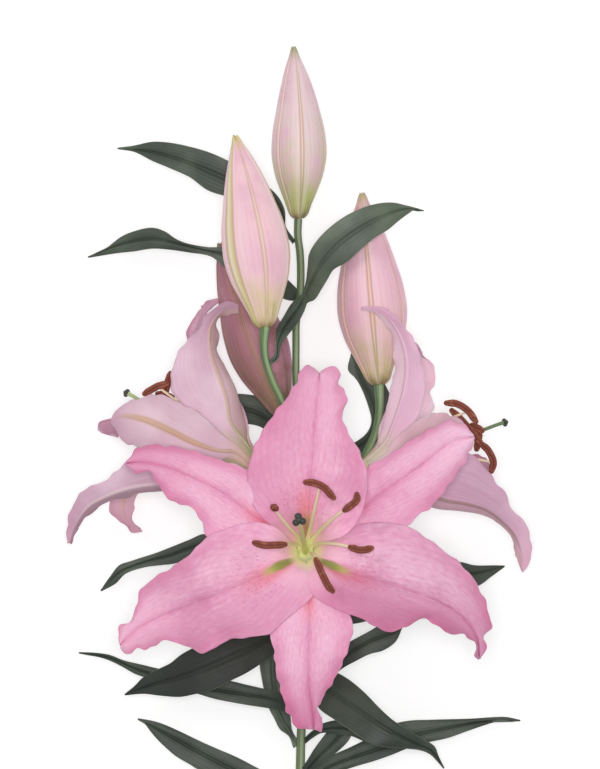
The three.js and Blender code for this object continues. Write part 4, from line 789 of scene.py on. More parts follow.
# Angle round the flower's axis from the side that faces up, then the edge on the side of larger
# angles, the middle and the other edge, past the tube.
SIDE_PETALS = {
    "left": {
        "left_petal_upper": (60, "petal",
            [(-29, 60, 47.5), (-31, 68, 46.5), (-34.5, 79, 45.5), (-39, 88.5, 44), (-43, 96, 42.5),
             (-45, 102, 42), (-44.2, 109, 42), (-45.8, 116, 43), (-44, 119.8, 44), (-39, 121.4, 44.5),
             (-33, 122.6, 44.5)],
            [(-38, 64, 53), (-40, 75, 54), (-43.5, 86, 54), (-47.5, 96, 52), (-49.5, 105, 49.5),
             (-49, 115, 48), (-44.3, 122.3, 47), (-38.5, 125.6, 46), (-33, 125, 45)],
            [(-50, 63, 54.5), (-62, 72, 57), (-69.5, 81, 57), (-69.5, 90, 55), (-66.5, 100, 53.5),
             (-60.5, 108.5, 52), (-55, 114, 50), (-51.5, 120.5, 49), (-44.5, 126.5, 47.5),
             (-38, 128.9, 47), (-33, 127.2, 46)]),
        "left_petal_lower": (-60, "petal",
            [(-50, 44, 54), (-66, 47, 56), (-80, 47.5, 55.5), (-90, 45.5, 53), (-98, 38.2, 48),
             (-107, 31.3, 43), (-116.5, 27.3, 37), (-123.3, 18, 31), (-126.5, 6, 26), (-126, -2, 22)],
            [(-48, 37, 52), (-62, 33, 53), (-76, 31, 52), (-90, 29, 48), (-104, 24.5, 42),
             (-115, 18, 34), (-121.5, 8.5, 27), (-125, -1.6, 22)],
            [(-46, 32, 47), (-60, 28.5, 46), (-76, 27, 43), (-89, 25, 40), (-100, 21.8, 37),
             (-108, 18.4, 34), (-114.5, 14, 30), (-119, 8.5, 27), (-121.6, 3, 25), (-123.6, -2.4, 21.5)]),
        "left_petal_back": (180, "petal",
            [(-44, 44, 34), (-53, 46, 25), (-66, 50, 14), (-78, 53, 7), (-88, 56, 4.5),
             (-95, 57.5, 4.5), (-98, 56, 7)],
            [(-48, 50, 28), (-64, 56, 14), (-80, 60, 7), (-94, 62, 4.5), (-104, 61.5, 5),
             (-106.5, 59, 7), (-98.5, 56, 9.5)],
            [(-46, 58, 26), (-60, 63, 13), (-76, 67, 6), (-95, 67, 4.5), (-103, 65.5, 4.5),
             (-108.8, 63, 5.5), (-107.3, 58, 8), (-98.5, 56.5, 10)]),
        "left_sepal_front": (0, "sepal",
            [(-42, 57, 57.5), (-55, 69, 61), (-67, 75, 64), (-80, 79, 64), (-88, 75, 63), (-95, 74, 61),
             (-100, 69, 58.5), (-102, 65, 56.5)],
            [(-45, 48.5, 59), (-58, 53, 63.5), (-72, 60, 68), (-85, 65.5, 70), (-95, 67, 66),
             (-101.5, 64, 58)],
            [(-44, 43, 57.5), (-58, 43.5, 60), (-72, 46, 63), (-84, 49, 63), (-93, 52, 61),
             (-99, 59, 58.5), (-101.5, 62.5, 57)]),
        "left_sepal_low_back": (-120, "sepal",
            [(-48, 31, 41), (-60, 27, 28), (-76, 27, 16), (-88, 25, 8), (-90, 17, 5), (-90.8, 11, 5),
             (-88, 6, 7)],
            [(-47, 35, 36), (-60, 34, 22), (-75, 33, 12), (-88, 30, 6), (-95.5, 21, 4),
             (-95.5, 13, 4.5), (-91, 6.5, 6.5), (-85.8, 5, 7.5)],
            [(-46, 40, 28), (-60, 40, 15), (-78, 38, 7), (-93, 34, 4), (-102.5, 23, 3.5),
             (-103.3, 16, 3.5), (-100, 11, 4), (-93.5, 7.5, 6), (-91.5, 3.5, 7.5), (-86, 4.3, 8)]),
        "left_sepal_high_back": (120, "sepal",
            [(-37, 56, 31), (-48, 70, 22), (-58, 84, 16), (-62, 98, 14), (-61.7, 107, 14.5),
             (-60, 115.5, 16), (-57, 121, 18), (-54.2, 125.5, 20), (-50.5, 128.8, 23), (-45, 130.8, 26)],
            [(-33, 62, 36), (-40, 72, 27), (-49, 86, 21), (-55, 101, 18), (-56.5, 111, 18),
             (-54.5, 118.5, 20), (-51.8, 124.5, 22), (-49, 127.6, 24), (-44.6, 129.6, 26.5)],
            [(-28, 62, 41), (-30.5, 71, 32), (-37, 82, 27), (-44, 94, 23), (-48, 104, 21),
             (-51, 112.5, 21), (-51.8, 118.5, 22), (-49.8, 123.2, 24), (-47.5, 126, 25.5),
             (-44.2, 128.2, 27)]),
    },
    "right": {
        "right_petal_upper": (60, "petal",
            [(42, 52, 49), (45, 63, 49.5), (47.7, 75.5, 49), (50, 86, 48), (51.2, 97, 46.5),
             (50, 108, 45), (46.5, 116.5, 44), (41, 122.2, 43.8), (33.3, 124.4, 44.5)],
            [(47, 54, 52), (52, 66, 53), (56, 78, 53.5), (58, 90, 53), (57.5, 101, 51.5),
             (54, 111.5, 49.5), (49, 119, 47.5), (42, 124, 45.8), (33.2, 125.2, 45)],
            [(55, 55, 54.5), (63.5, 66.5, 56.5), (67, 79, 57.5), (66.8, 90, 57), (64.8, 99.5, 56),
             (60.5, 109.5, 54), (54.5, 118, 51), (48, 123.4, 48.5), (41, 126.4, 46.5),
             (33.3, 126, 45.5)]),
        "right_petal_lower": (-60, "petal",
            [(58, 41, 55.5), (72, 46, 57), (84, 49, 57), (93, 46, 55), (101, 38, 51), (107, 30, 47),
             (111.5, 24.5, 43.5), (115.5, 14.5, 40), (119.7, 12.5, 37), (124.3, 3, 32), (125.3, -5, 28),
             (124.5, -12.5, 25), (121, -17.6, 22.5)],
            [(54, 32, 52), (66, 26, 53), (78, 22, 51.5), (90, 20, 48.5), (100, 17, 44), (109, 11, 38),
             (116.5, 2.5, 32), (120.3, -8, 27), (120.5, -17.4, 22.5)],
            [(52, 28, 46), (64, 21.5, 45), (78, 18, 42), (92, 15.8, 39.5), (102, 12.8, 36),
             (108.5, 9.2, 33), (113.5, 4, 30), (116, -3, 28), (117.5, -9.5, 26), (119.8, -16.8, 23)]),
        "right_petal_back": (180, "petal",
            [(54, 41, 30), (63, 46, 17), (73, 50, 10.5), (82, 52, 8), (90, 57.4, 7)],
            [(54, 45, 27), (66, 51, 12), (76, 55, 6.5), (84, 58, 5.5), (90, 58, 7)],
            [(51, 49, 29), (60, 54, 17), (70, 60, 9), (80, 65, 5.5), (86, 64, 5), (90, 59, 7)]),
        "right_sepal_front": (0, "sepal",
            [(50, 53, 57.5), (60, 62, 61), (70, 67.5, 63), (78, 68.5, 63.5), (86, 65, 61.5),
             (91.5, 58, 58)],
            [(54, 46, 59), (66, 53, 63.5), (77, 57.5, 66), (86, 58, 64), (91.5, 57, 58.5)],
            [(56, 37.5, 57.5), (68, 40, 60.5), (80, 44, 62.5), (88, 50, 61), (91.5, 55.5, 58)]),
        "right_sepal_high_back": (120, "sepal",
            [(48, 54, 32), (57, 61, 23), (67, 66, 16), (73, 71, 12.5), (71, 80, 12), (73.5, 88, 13),
             (71, 96, 15), (66, 99.5, 16.5), (64, 105, 18), (61.5, 107.5, 19)],
            [(45, 58, 37), (51, 70, 27), (58, 82, 20), (63, 92, 17), (65, 100, 17), (61, 107, 19)],
            [(43, 61, 40), (49, 74, 32), (55, 86, 27), (58, 96, 24), (60, 103, 21), (60.4, 106, 20)]),
        "right_sepal_low_back": (-120, "sepal",
            [(57, 28.5, 41), (69, 26, 26), (84, 26, 12), (97, 29, 5.5), (104, 36.5, 5)],
            [(56, 32, 35), (67, 33, 21), (80, 35, 10), (94, 38, 5), (104, 38, 5)],
            [(56, 37, 26), (66, 40.5, 14), (75, 43, 6.5), (88, 45, 3.5), (98, 46, 3.5), (104, 39.5, 4.5)]),
    },
}


def flower_axes(flower):
    """A flower's base, the way it opens, the side that faces up and the side towards the tip of the stem."""
    base, axis = FLOWERS[flower]
    ahead = unit(np.array(axis, float))
    front = unit(np.array((0, 0, 1.0)) - ahead * ahead[2])
    top = np.cross(front, ahead)
    return np.array(base, float), ahead, front, top * np.sign(top[1])


def around(axes, degrees, height, radius):
    """A point beside a flower's axis: its angle from the side that faces up, and how far ahead it is."""
    base, ahead, front, top = axes
    angle = math.radians(degrees)
    return base + ahead * height + radius * (front * math.cos(angle) + top * math.sin(angle))


def lift(shape, height):
    """Moves a sheet's points along its own normals."""
    across = np.gradient(shape, axis=1)
    along = np.gradient(shape, axis=0)
    return shape + unit(np.cross(across, along)) * height[..., None]


def side_petal_shape(flower, angle, kind, more, middle, less, turn):
    axes = flower_axes(flower)
    step = OUTER_STEP if kind == "sepal" else 0
    curves = []
    for swing, outline in ((1, more), (0, middle), (-1, less)):
        at = angle + swing * SIDE_SPANS[kind]
        start = [around(axes, at, 0, WHORL_RADIUS + step), around(axes, at, TUBE_HEIGHT, TUBE_RADII[kind])]
        curves.append(curve_through([*start, *outline]))
    # The sheet's normals face into the flower on both sides of the stem.
    if flower == "right":
        curves.reverse()
    shape, across, along = blade(*curves, SIDE_ROWS, SIDE_COLUMNS)
    shape = crimp(shape, across, along, turn)
    groove = SIDE_GROOVE * ridge(across, 0.06) * stretch(along, 0.05, 0.2, 0.75, 0.95)
    wave = ripple(along, across, 5.2, turn, 0.3) * stretch(along, 0.4, 0.6, 0.92, 1)
    return lift(shape, SIDE_RUFFLE * np.abs(across) ** 4 * wave - groove), petal_share(across, along)


# One petal's face is a paler copy of the side petals' face: painted light.
PAINTED_LIT_PETAL = "right_sepal_high_back"
side_face = petal_face("side_petal_face", ("d2aebf", "c79db1", "b08497"), "b07f96", "c99aa0",
                       furrow=0.0, spotted=0.2, margin="a86f8a")
painted_lit_face = petal_face("painted_lit_petal_face", ("ecd2dd", "e5c5d2", "dbb4c6"), "e2c0cf", "d9b4bc",
                       furrow=0.0, spotted=0.2, edge=0.3, margin="d3a2ba")
GREEN_BASE = "a8aa72"
PALE_BASE = "d3d6b2"
# Backs that differ: body, paler tone, colours of the midrib at its base and beyond, its width and strength,
# the side of the midrib that is painted darker as shade, or paler to lift shade, and its colour, and the
# colour at the tip.
SIDE_BACKS = {
    "left_petal_upper": ("c9a5b7", "dcc0ce", GREEN_BASE, "c4a68e", 0.05, 0.75, (-1, "b89a98"), "85506c"),
    "left_petal_lower": ("c4a0b2", "d8bccb", GREEN_BASE, "d8c2c2", 0.05, 0.6, (1, "987280")),
    "left_sepal_front": ("ccaab9", "dcc2cc", "c3a98f", "c09a74", 0.12, 0.75),
    "left_sepal_low_back": ("b98a98", "cfa9b4", GREEN_BASE, "c0a06c", 0.1, 0.7),
    # Its paler side is painted light that lifts the shade where it turns away.
    "right_petal_upper": ("d6adc3", "e6c8d6", PALE_BASE, "ddc3c8", 0.05, 0.1, (1, "e3c6d1")),
    "right_petal_lower": ("c79db4", "dcbccd", GREEN_BASE, "8f7268", 0.05, 0.7, (-1, "c09ca4"), "d8a2bc"),
    # Its midrib colour spreads over nearly its whole width: the mauve-brown of its outer half is painted
    # shade, where it lies under the middle flower.
    "right_sepal_front": ("e8c2d2", "f0d8e2", "e8d2d4", "a0757a", 1.2, 0.6),
}
PLAIN_BACK = ("c8a0b4", "dabbca", GREEN_BASE, "cfa986", 0.08, 0.5)
TURNED_OVER = "left_sepal_low_back"      # its back is seen from above
for flower, petals in SIDE_PETALS.items():
    for number, (name, (angle, kind, *outlines)) in enumerate(petals.items()):
        shape, share = side_petal_shape(flower, angle, kind, *outlines, turn=SIDE_WAVE_START * number)
        back = petal_back(f"{name}_back", *SIDE_BACKS.get(name, PLAIN_BACK))
        face = {PAINTED_LIT_PETAL: painted_lit_face, TURNED_OVER: back}.get(name, side_face)
        petal = lay_grid(f"{name}_piece", shape, face, back)
        thicken(petal, share, PETAL_THICKEST)
        hand_over(petal, name)


# ---------------------------------------------------------------- stamens
# Six in each flower: a slender pale filament that tapers upwards, with an anther balanced across its
# end. The anthers have split along their length and are covered in rust-brown pollen.
MAIN_STAMENS = [
    ([(3.4, -4.7, 50.3), (4.6, 2.5, 84), (7.6, 16, 105), (10.5, 29, 117)],
     [(3, 31.5, 117), (8, 31, 118), (13, 28.5, 118), (18, 23, 116)]),
    ([(4.9, -5.7, 50.3), (7.5, 1.5, 84), (19, 13, 109), (26.5, 18.5, 119)],
     [(24, 16.5, 119), (28, 19.5, 120), (30.5, 22, 120), (30.5, 25, 119)]),
    ([(5.3, -7.4, 50.3), (7.8, -2.2, 84), (19, -1.8, 107), (31, -4.3, 117)],
     [(27, -3.5, 117), (33, -5, 118), (38.5, -4, 117)]),
    ([(4, -9.1, 50.3), (6, -7, 84), (8.5, -9, 105), (12, -17, 117)],
     [(8.5, -10, 117), (12, -18, 118), (15, -24, 118), (17.5, -27, 117)]),
    ([(0.7, -6.4, 50.3), (-1.8, -2, 84), (-9, -2, 105), (-16, -2.2, 117.6)],
     [(-24.5, -1, 117), (-20, -2.3, 118), (-13, -2.3, 118), (-8, -2, 117)]),
    ([(1.8, -5, 50.3), (-1, 1.5, 84), (-10, 12, 103), (-13.7, 17.3, 110)],
     [(-13, 17, 107), (-14, 18, 115), (-14, 18, 124)]),
]
# Side flowers: the angle at which each filament starts, then its anther.
SIDE_STAMENS = {
    "left": [
        (20, [(-84, 79, 54), (-77, 83, 57), (-72, 84.5, 58)]),
        (100, [(-73, 79, 48), (-71.5, 85, 50), (-70, 90, 51.5)]),
        (60, [(-77, 79, 45), (-73, 78, 45), (-69, 77, 44)]),
        (-20, [(-72, 66, 52), (-77, 67, 53), (-81, 69, 52)]),
        (-110, [(-75, 57, 36), (-80, 56, 35), (-85, 57, 33)]),
        (180, [(-70, 70, 26), (-75, 72, 24), (-80, 72, 23)]),
    ],
    "right": [
        (75, [(79, 74, 57), (85, 73.5, 58), (91, 69.5, 58), (95, 64, 57)]),
        (40, [(82, 70, 51), (88, 64, 53), (94, 57, 54), (98, 52, 54)]),
        (-65, [(98, 52, 48), (102, 48, 48), (104.5, 42, 47), (103.5, 37, 46)]),
        (-30, [(95.5, 49, 42), (96.5, 54, 43), (97, 58, 44)]),
        (5, [(93, 62, 43), (96, 60.5, 43.5), (98.5, 59, 44)]),
        (-130, [(78, 46, 35), (82, 45, 34), (87, 45, 33)]),
    ],
}
# Side filaments keep to rings round the flower's axis: distance past the base, and radius.
FILAMENT_RINGS = [(2.8, 3.3), (20, 4.3), (36, 7.3)]
DISC = [(2.3, 4.4), (3.3, 4.4)]
FILAMENT_RADII = (1.15, 1.1, 0.95, 0.6)
ANTHER_RADIUS = 1.95
ANTHER_STATIONS = 9
ANTHER_TAPER = 0.25              # part of the radius that it loses at its ends
FILAMENT_MESH, ANTHER_MESH, DISC_MESH = (60, 14), (40, 24), (5, 32)


def anther_section(angle, part):
    """Two lobes with a split between them that faces up and a furrow underneath."""
    split = ridge(np.mod(angle - 0.5 * np.pi, 2 * np.pi) - np.pi, 0.3)
    furrow = ridge(angle - 0.5 * np.pi, 0.4)
    grains = 0.04 * np.sin(7 * angle + 40 * part) * np.sin(55 * part)
    return 1 - 0.3 * split - 0.15 * furrow + grains


def anther_rings(points):
    part = np.linspace(0, 1, ANTHER_STATIONS)
    full = ANTHER_RADIUS * (1 - np.abs(2 * part - 1) ** 10 * ANTHER_TAPER)
    stations = [(*point, radius) for point, radius in zip(curve_through(points)(part), full)]
    return dome(dome(rings_round(stations, *ANTHER_MESH, anther_section), at_start=True))


def anther_finish():
    material, tree = new_finish("anther_pollen", 0.9, 0.15)
    grains = grain(tree, 2600)
    parts = add_node(tree, "SeparateXYZ", {0: piece_uv(tree)}).outputs
    colour = coated(
        tree, "6f3a30",
        ("965646", 1, (grains, 0.35, 0.65)),
        ("a8664f", 1, (grain(tree, 380, 2.0), 0.5, 0.75)),
        ("57302f", 0.6, (gap(tree, parts[0], 0.75), 0.07, 0.02)),
    )
    return dress(material, colour, grains, 0.7, 0.3)


def filament_finish():
    # The filament's lower part glows a little: painted light that lifts the shade in the throat.
    plain = {"Emission Strength": 0.3, **soft_tissue(0.2, (1, 0.9, 0.5), 1)}
    material, tree = new_finish("filament_green", 0.4, 0.4, plain)
    lines = lengthwise(tree, 4.0)
    along, streak = lines["Along"], lines["Streak"]
    colour = coated(tree, "cfd292", ("ead3b6", 1, (along, 0.35, 0.95)), ("f1e6c8", 0.35, streak))
    return dress(material, colour, streak, 0.2, 0.2, painted_glow=(along, 0.6, 0.3))


anther_brown = anther_finish()
filament_green = filament_finish()


def join_pieces(name, pieces):
    bpy.ops.object.select_all(action="DESELECT")
    for piece in pieces:
        piece.select_set(True)
    bpy.context.view_layer.objects.active = pieces[0]
    bpy.ops.object.join()
    pieces[0].name = pieces[0].data.name = name
    return pieces[0]


def add_stamen(filament_points, anther_points):
    """One filament and its anther."""
    stations = [(*point, radius) for point, radius in zip(filament_points, FILAMENT_RADII)]
    return [round_piece("filament", stations, FILAMENT_MESH, filament_green),
            lay_grid("anther", anther_rings(anther_points), anther_brown, closed=True)]


for number, (filament_points, anther_points) in enumerate(MAIN_STAMENS, start=1):
    stamen = join_pieces(f"main_stamen_{number}_piece", add_stamen(filament_points, anther_points))
    hand_over(stamen, f"main_stamen_{number}")

for flower, stamens in SIDE_STAMENS.items():
    axes = flower_axes(flower)
    disc_stations = [(*around(axes, 0, height, 0), radius) for height, radius in DISC]
    group = [lay_grid("disc", rings_round(disc_stations, *DISC_MESH), filament_green, closed=True)]
    for angle, anther_points in stamens:
        path = [around(axes, angle, height, radius) for height, radius in FILAMENT_RINGS]
        group += add_stamen([*path, anther_points[len(anther_points) // 2]], anther_points)
    hand_over(join_pieces(f"{flower}_stamens_piece", group), f"{flower}_stamens")


# ---------------------------------------------------------------- pistils
# A grooved green ovary in the middle of each flower, drawn out into a long style that ends in the
# stigma: three round, sticky, nearly black lobes.
MAIN_PISTIL = [
    (3, -7, 50.3, 1.4), (3, -6, 62, 1.7), (2.4, -3, 80, 1.4), (1, 4, 108, 1.3), (-0.2, 10, 126, 1.2),
    (-0.6, 11.2, 129.6, 1.4),
]
SIDE_PISTILS = {
    "left": [(-59, 59, 40.5, 0.9), (-75, 68.5, 37, 0.9), (-91, 78, 33.7, 1.0), (-94, 79.5, 32.5, 1.2)],
    "right": [(75, 51, 40.5, 0.9), (98, 59, 37, 1.0), (108, 62.7, 34.4, 1.0), (111, 63.5, 33, 1.2)],
}
OVARY = [(3.6, 1.8), (18, 1.6)]
# A stigma's lobes: how far round the first one is, their radius and how far from its middle they sit.
MAIN_LOBES = (42, 2.0, 2.1)
SIDE_LOBES = (30, 1.3, 1.15)
STYLE_MESH = (100, 24)
LOBE_MESH = {"segments": 24, "ring_count": 16}


def style_section(angle, part):
    return 1 - 0.12 * (1 - smooth(part, 0.15, 0.4)) * (0.5 + 0.5 * np.cos(6 * angle))


def style_finish(name, low, high, pale):
    material, tree = new_finish(name, 0.4, 0.4)
    lines = lengthwise(tree, 3.0)
    colour = coated(tree, low, (high, 1, (lines["Along"], 0.1, 0.6)), (pale, 0.3, lines["Streak"]))
    return dress(material, colour, lines["Streak"], 0.25, 0.2)


def stigma_finish():
    material, tree = new_finish("stigma_dark", 0.38, 0.5)
    grains = grain(tree, 1500)
    return dress(material, coated(tree, "22251f", ("3f433b", 1, grains)), grains, 0.5, 0.25)


STYLES = {
    # The middle flower's style is painted paler: painted light that lifts the shade it stands in among the
    # petals.
    "main": style_finish("main_style_green", "c9d37a", "bac47c", "e6e7bb"),
    "left": style_finish("left_style_green", "a3b05c", "9fb07a", "d6d8a2"),
    "right": style_finish("right_style_green", "6f7f4e", "5f7452", "93a577"),
}
stigma_dark = stigma_finish()


def add_pistil(name, stations, turn, lobe_radius, lobe_reach):
    finish = STYLES[name.split("_")[0]]
    pieces = [round_piece("style", stations, STYLE_MESH, finish, style_section)]
    end, before = (np.array(station[:3], float) for station in (stations[-1], stations[-2]))
    ahead = unit(end - before)
    side = unit(np.cross(ahead, (0, 1, 0) if abs(ahead[2]) > 0.7 else (0, 0, 1)))
    other = np.cross(ahead, side)
    # Three lobes and a rounded middle that covers the end of the style.
    for lobe in range(4):
        angle = math.radians(turn + 120 * lobe)
        reach = lobe_reach if lobe < 3 else 0
        centre = end + reach * (side * math.cos(angle) + other * math.sin(angle))
        bpy.ops.object.select_all(action="DESELECT")
        place = centre * MM + ORIGIN
        bpy.ops.mesh.primitive_uv_sphere_add(radius=lobe_radius * MM, location=place, **LOBE_MESH)
        ball = bpy.context.object
        bpy.ops.object.transform_apply(location=True, rotation=False, scale=False)
        bpy.ops.object.shade_smooth()
        ball.data.materials.append(stigma_dark)
        pieces.append(ball)
    hand_over(join_pieces(f"{name}_piece", pieces), name)


add_pistil("main_pistil", MAIN_PISTIL, *MAIN_LOBES)
for flower, stations in SIDE_PISTILS.items():
    axes = flower_axes(flower)
    ovary = [(*around(axes, 0, height, 0), radius) for height, radius in OVARY]
    add_pistil(f"{flower}_pistil", ovary + stations, *SIDE_LOBES)


# ---------------------------------------------------------------- leaves
# Dark, smooth, narrow leaves without stalks, set singly round the stem. Each has a sunken midrib and
# parallel veins, and a thin pale margin.

# For each: the midrib in space, its two edges in plan between base and tip, and how far the edges
# stand above the midrib.
LEAVES = [
    ([(-3.2, 161, 19), (-6.5, 164.5, 20.5), (-8.5, 170, 22.5), (-9.3, 176, 24.5), (-12, 182, 27),
      (-17, 187, 28.5), (-28, 191, 30), (-41, 196, 30), (-60, 204, 26), (-80, 210, 20), (-99, 212, 14)],
     [(-7.6, 169.5), (-8, 174.5), (-8.5, 179), (-12, 186), (-18, 192), (-28, 199), (-42, 206.5),
      (-50, 210), (-60, 213), (-70, 215), (-80, 215.5), (-90, 213.5)],
     [(-9.4, 170), (-10.6, 174.5), (-13, 178.5), (-19, 181), (-27, 183), (-41, 186), (-50, 189),
      (-60, 196.5), (-70, 201), (-80, 205), (-90, 210)], 1.5),
    ([(0, 131, 22), (-8, 137, 26), (-20, 146, 30), (-35, 153, 31), (-50, 156.5, 30), (-65, 160, 27),
      (-80, 163, 22), (-97, 160, 16), (-115, 153, 10)],
     [(-8, 142), (-20, 151), (-35, 156), (-43, 158), (-50, 158), (-60, 160), (-67, 163), (-73, 167),
      (-80, 169), (-90, 167), (-97, 164), (-105, 158)],
     [(-8, 130), (-20, 137), (-32, 143), (-40, 146.5), (-48, 153), (-60, 155.5), (-70, 157),
      (-80, 157.5), (-90, 156), (-100, 155)], 1),
    ([(0, 124, 25), (4, 135, 32), (10, 147, 38), (20, 159, 42), (32, 168, 43), (45, 175, 40),
      (57, 179, 34), (67, 178, 28)],
     [(2, 135), (4, 147), (5, 155), (10, 163), (20, 172), (30, 178), (40, 181.5), (50, 182.5),
      (58, 181)],
     [(4, 128), (8, 130), (12, 136), (15, 141), (18, 146), (25, 150), (33, 157), (40, 163), (48, 168),
      (54, 173), (58, 176), (62, 178.5)], 1),
    ([(-18, 95, 56), (-13, 98, 56.5), (-12, 106, 55), (-9, 114, 50), (-5, 120, 46), (0, 127, 42),
      (3, 133, 38)],
     [(-14.2, 99.5), (-13.5, 106), (-12.5, 114), (-9, 121), (-4, 128.5), (0.5, 132.5)],
     [(-11.8, 97.5), (-10.5, 105), (-6, 111), (-1.5, 117), (2.5, 124), (4, 129.5)], 0.8),
    ([(0, 24, 29), (-2, 36, 22), (-7, 50, 14), (-14, 62, 9), (-24, 69, 6), (-36, 71.5, 4.5),
      (-50, 70, 3.5), (-64, 67, 3.5)],
     [(2, 38), (-1, 52), (-6, 66), (-18, 76), (-35, 79), (-50, 76), (-60, 71)],
     [(-6, 34), (-13, 48), (-20, 60), (-34, 63), (-50, 63), (-60, 64)], 0),
    ([(-1, 35, 31), (8, 39, 25), (20, 44, 20), (34, 52, 15), (41, 63, 11), (39, 77, 8), (33, 88, 5),
      (28, 101, 4)],
     [(10, 43), (20, 48.5), (30, 53), (36, 58), (39, 64), (37, 74), (33, 82), (29, 88), (26, 92)],
     [(10, 38), (24, 40), (35, 46), (41, 50), (49, 60), (50, 74), (45, 86), (36, 96)], 0),
    ([(-2, -32, 24), (-20, -16, 20), (-40, -6, 16), (-55, -3.5, 14), (-70, -8.5, 11), (-85, -12.5, 8),
      (-98, -18, 6), (-108, -28, 4)],
     [(-10, -20), (-28, -4), (-40, 0), (-47, 1), (-52, 3), (-60, 0), (-70, -4), (-80, -8), (-92, -12),
      (-98, -14), (-103, -20)],
     [(-12, -29), (-28, -19), (-45, -12), (-58, -9.5), (-68, -13), (-75, -14), (-85, -15.5),
      (-95, -19), (-100, -24)], 1),
    ([(2, -48, 21), (20, -42, 25), (35, -37, 27), (60, -29, 26), (85, -20, 21), (97, -18, 16),
      (111, -14.5, 10)],
     [(15, -38), (35, -29), (60, -18), (85, -12), (95, -14), (105, -14)],
     [(15, -47), (30, -45.5), (40, -43), (60, -37), (80, -30), (97, -25), (104, -20)], 1.5),
    ([(-2, -92, 14), (-15, -86.5, 18), (-30, -84, 21), (-50, -80.5, 22), (-70, -76, 20),
      (-88, -70.5, 16), (-103, -64.2, 11), (-120, -61.5, 6)],
     [(-12, -82.5), (-21, -80.5), (-30, -78.5), (-38, -76.5), (-55, -73.5), (-77, -70), (-85, -68),
      (-95, -65.5), (-103, -62.5), (-110, -61.5)],
     [(-17, -91.5), (-30, -89.5), (-45, -86.5), (-55, -83.5), (-70, -79.5), (-85, -74.5), (-90, -72.5),
      (-97, -68.5), (-105, -65)], 1),
    ([(0, -42, 22), (-5, -46.6, 24), (-20, -55.6, 30), (-35, -62.6, 35), (-50, -69.1, 35),
      (-65, -74.6, 31), (-80, -78.6, 26), (-95, -84.1, 20)],
     [(-8, -41.6), (-20, -42.6), (-40, -48.6), (-58, -58.6), (-65, -62.6), (-70, -66.6), (-77, -70.1),
      (-85, -74.6), (-90, -79.6)],
     [(-5, -52.6), (-15, -62.6), (-22, -67.6), (-30, -72.6), (-38, -76.6), (-48, -81.6), (-57, -83.6),
      (-65, -85.1), (-75, -84.6), (-85, -83.6)], 1.5),
    ([(-1.5, -112, 10), (-6, -104, 10), (-12, -93, 9), (-14, -80, 8), (-15, -66, 8), (-14, -50, 9),
      (-8, -30, 10)],
     [(-6, -107), (-11, -103), (-14, -97), (-17, -91), (-20, -80), (-21, -75), (-22, -67), (-20, -50)],
     [(-4, -104), (-5, -96), (-6, -86), (-7.5, -76), (-8, -66), (-7.5, -50), (-6.5, -38)], 0.5),
    ([(-2, -141, 6.5), (-12, -134.9, 8), (-30, -127.9, 8), (-50, -117.9, 7), (-70, -106.9, 5.5),
      (-88, -97.4, 4)],
     [(-12, -129.9), (-25, -122.9), (-35, -117.9), (-45, -113.4), (-55, -108.9), (-65, -104.4),
      (-75, -99.9), (-80, -98.4)],
     [(-12, -139.9), (-25, -136.9), (-40, -131.4), (-55, -124.9), (-60, -121.9), (-67, -117.9),
      (-73, -112.9), (-78, -107.9), (-82, -102.9), (-85, -98.9)], 1),
    ([(3, -88, 13), (14, -73, 20), (25, -63, 24), (38, -55, 26), (50, -50, 26), (60, -40, 24)],
     [(6, -78), (15, -65), (26, -56), (40, -48), (48, -43), (56, -39.5)],
     [(9, -84), (22, -70.5), (30, -66), (38, -62), (45, -60), (52, -55), (56, -47), (59, -42)], 1),
    ([(1, -70, 17), (14, -80, 26), (30, -91, 35), (48, -103, 40), (62, -110, 35), (71, -114, 28),
      (78, -124, 20)],
     [(8, -69), (20, -72), (27, -76), (34, -82), (42, -90), (50, -97), (58, -102.5), (66, -107.5),
      (73, -112), (75, -117)],
     [(5, -82), (10, -91), (18, -97), (27, -103), (38, -110), (45, -112), (57, -113), (64, -113.5),
      (70, -116), (75, -121)], 1.5),
    ([(2, -132, 8), (15, -123.8, 8.5), (30, -117.8, 9), (45, -112.8, 10), (60, -106.8, 11),
      (80, -102.3, 10), (100, -98.8, 9), (119.5, -98.3, 7)],
     [(9, -122.8), (18, -116.8), (27, -112.8), (37, -107.8), (50, -100.3), (60, -98.1), (70, -97.8),
      (90, -97.3), (105, -96.3), (112, -96.3)],
     [(12, -129.8), (28, -123.8), (40, -120.3), (50, -116.8), (57, -113.8), (68, -110.3), (80, -107.8),
      (90, -104.3), (100, -100.8), (108, -98.3), (115, -98.8)], 0.5),
    ([(1, -128, 9), (10, -118, 15), (20, -108, 18), (30, -92, 19)],
     [(3, -121), (8, -113), (14, -105), (22, -96)],
     [(8, -125), (18, -117), (27, -108), (30, -98)], 0.5),
    ([(2, -110, 10), (6, -106, 14), (12, -103, 20), (22, -102, 24), (32, -104, 26), (42, -107, 27)],
     [(6.5, -103.5), (11, -100.5), (18, -98), (28, -98.5), (38, -103)],
     [(7, -107.5), (11, -105), (20, -105.5), (28, -106.5), (38, -110)], 0.8),
]
NARROW_BASES = (1, 4, 17)        # the leaves that are narrowest where they are attached
LEAF_BASE_HALF_WIDTH = 2.4
NARROW_HALF_WIDTH = 1.2
TIP_HALF_WIDTH = 0.4
LEAF_ROWS = 80
LEAF_COLUMNS = 33
LEAF_THICKEST = 0.9
UPPER_LEAVES = 7                 # the first leaves, nearest the stem's tip, are paler than the rest
# Leaf 3 has a paler face than the others.
PALER_LEAF = 3
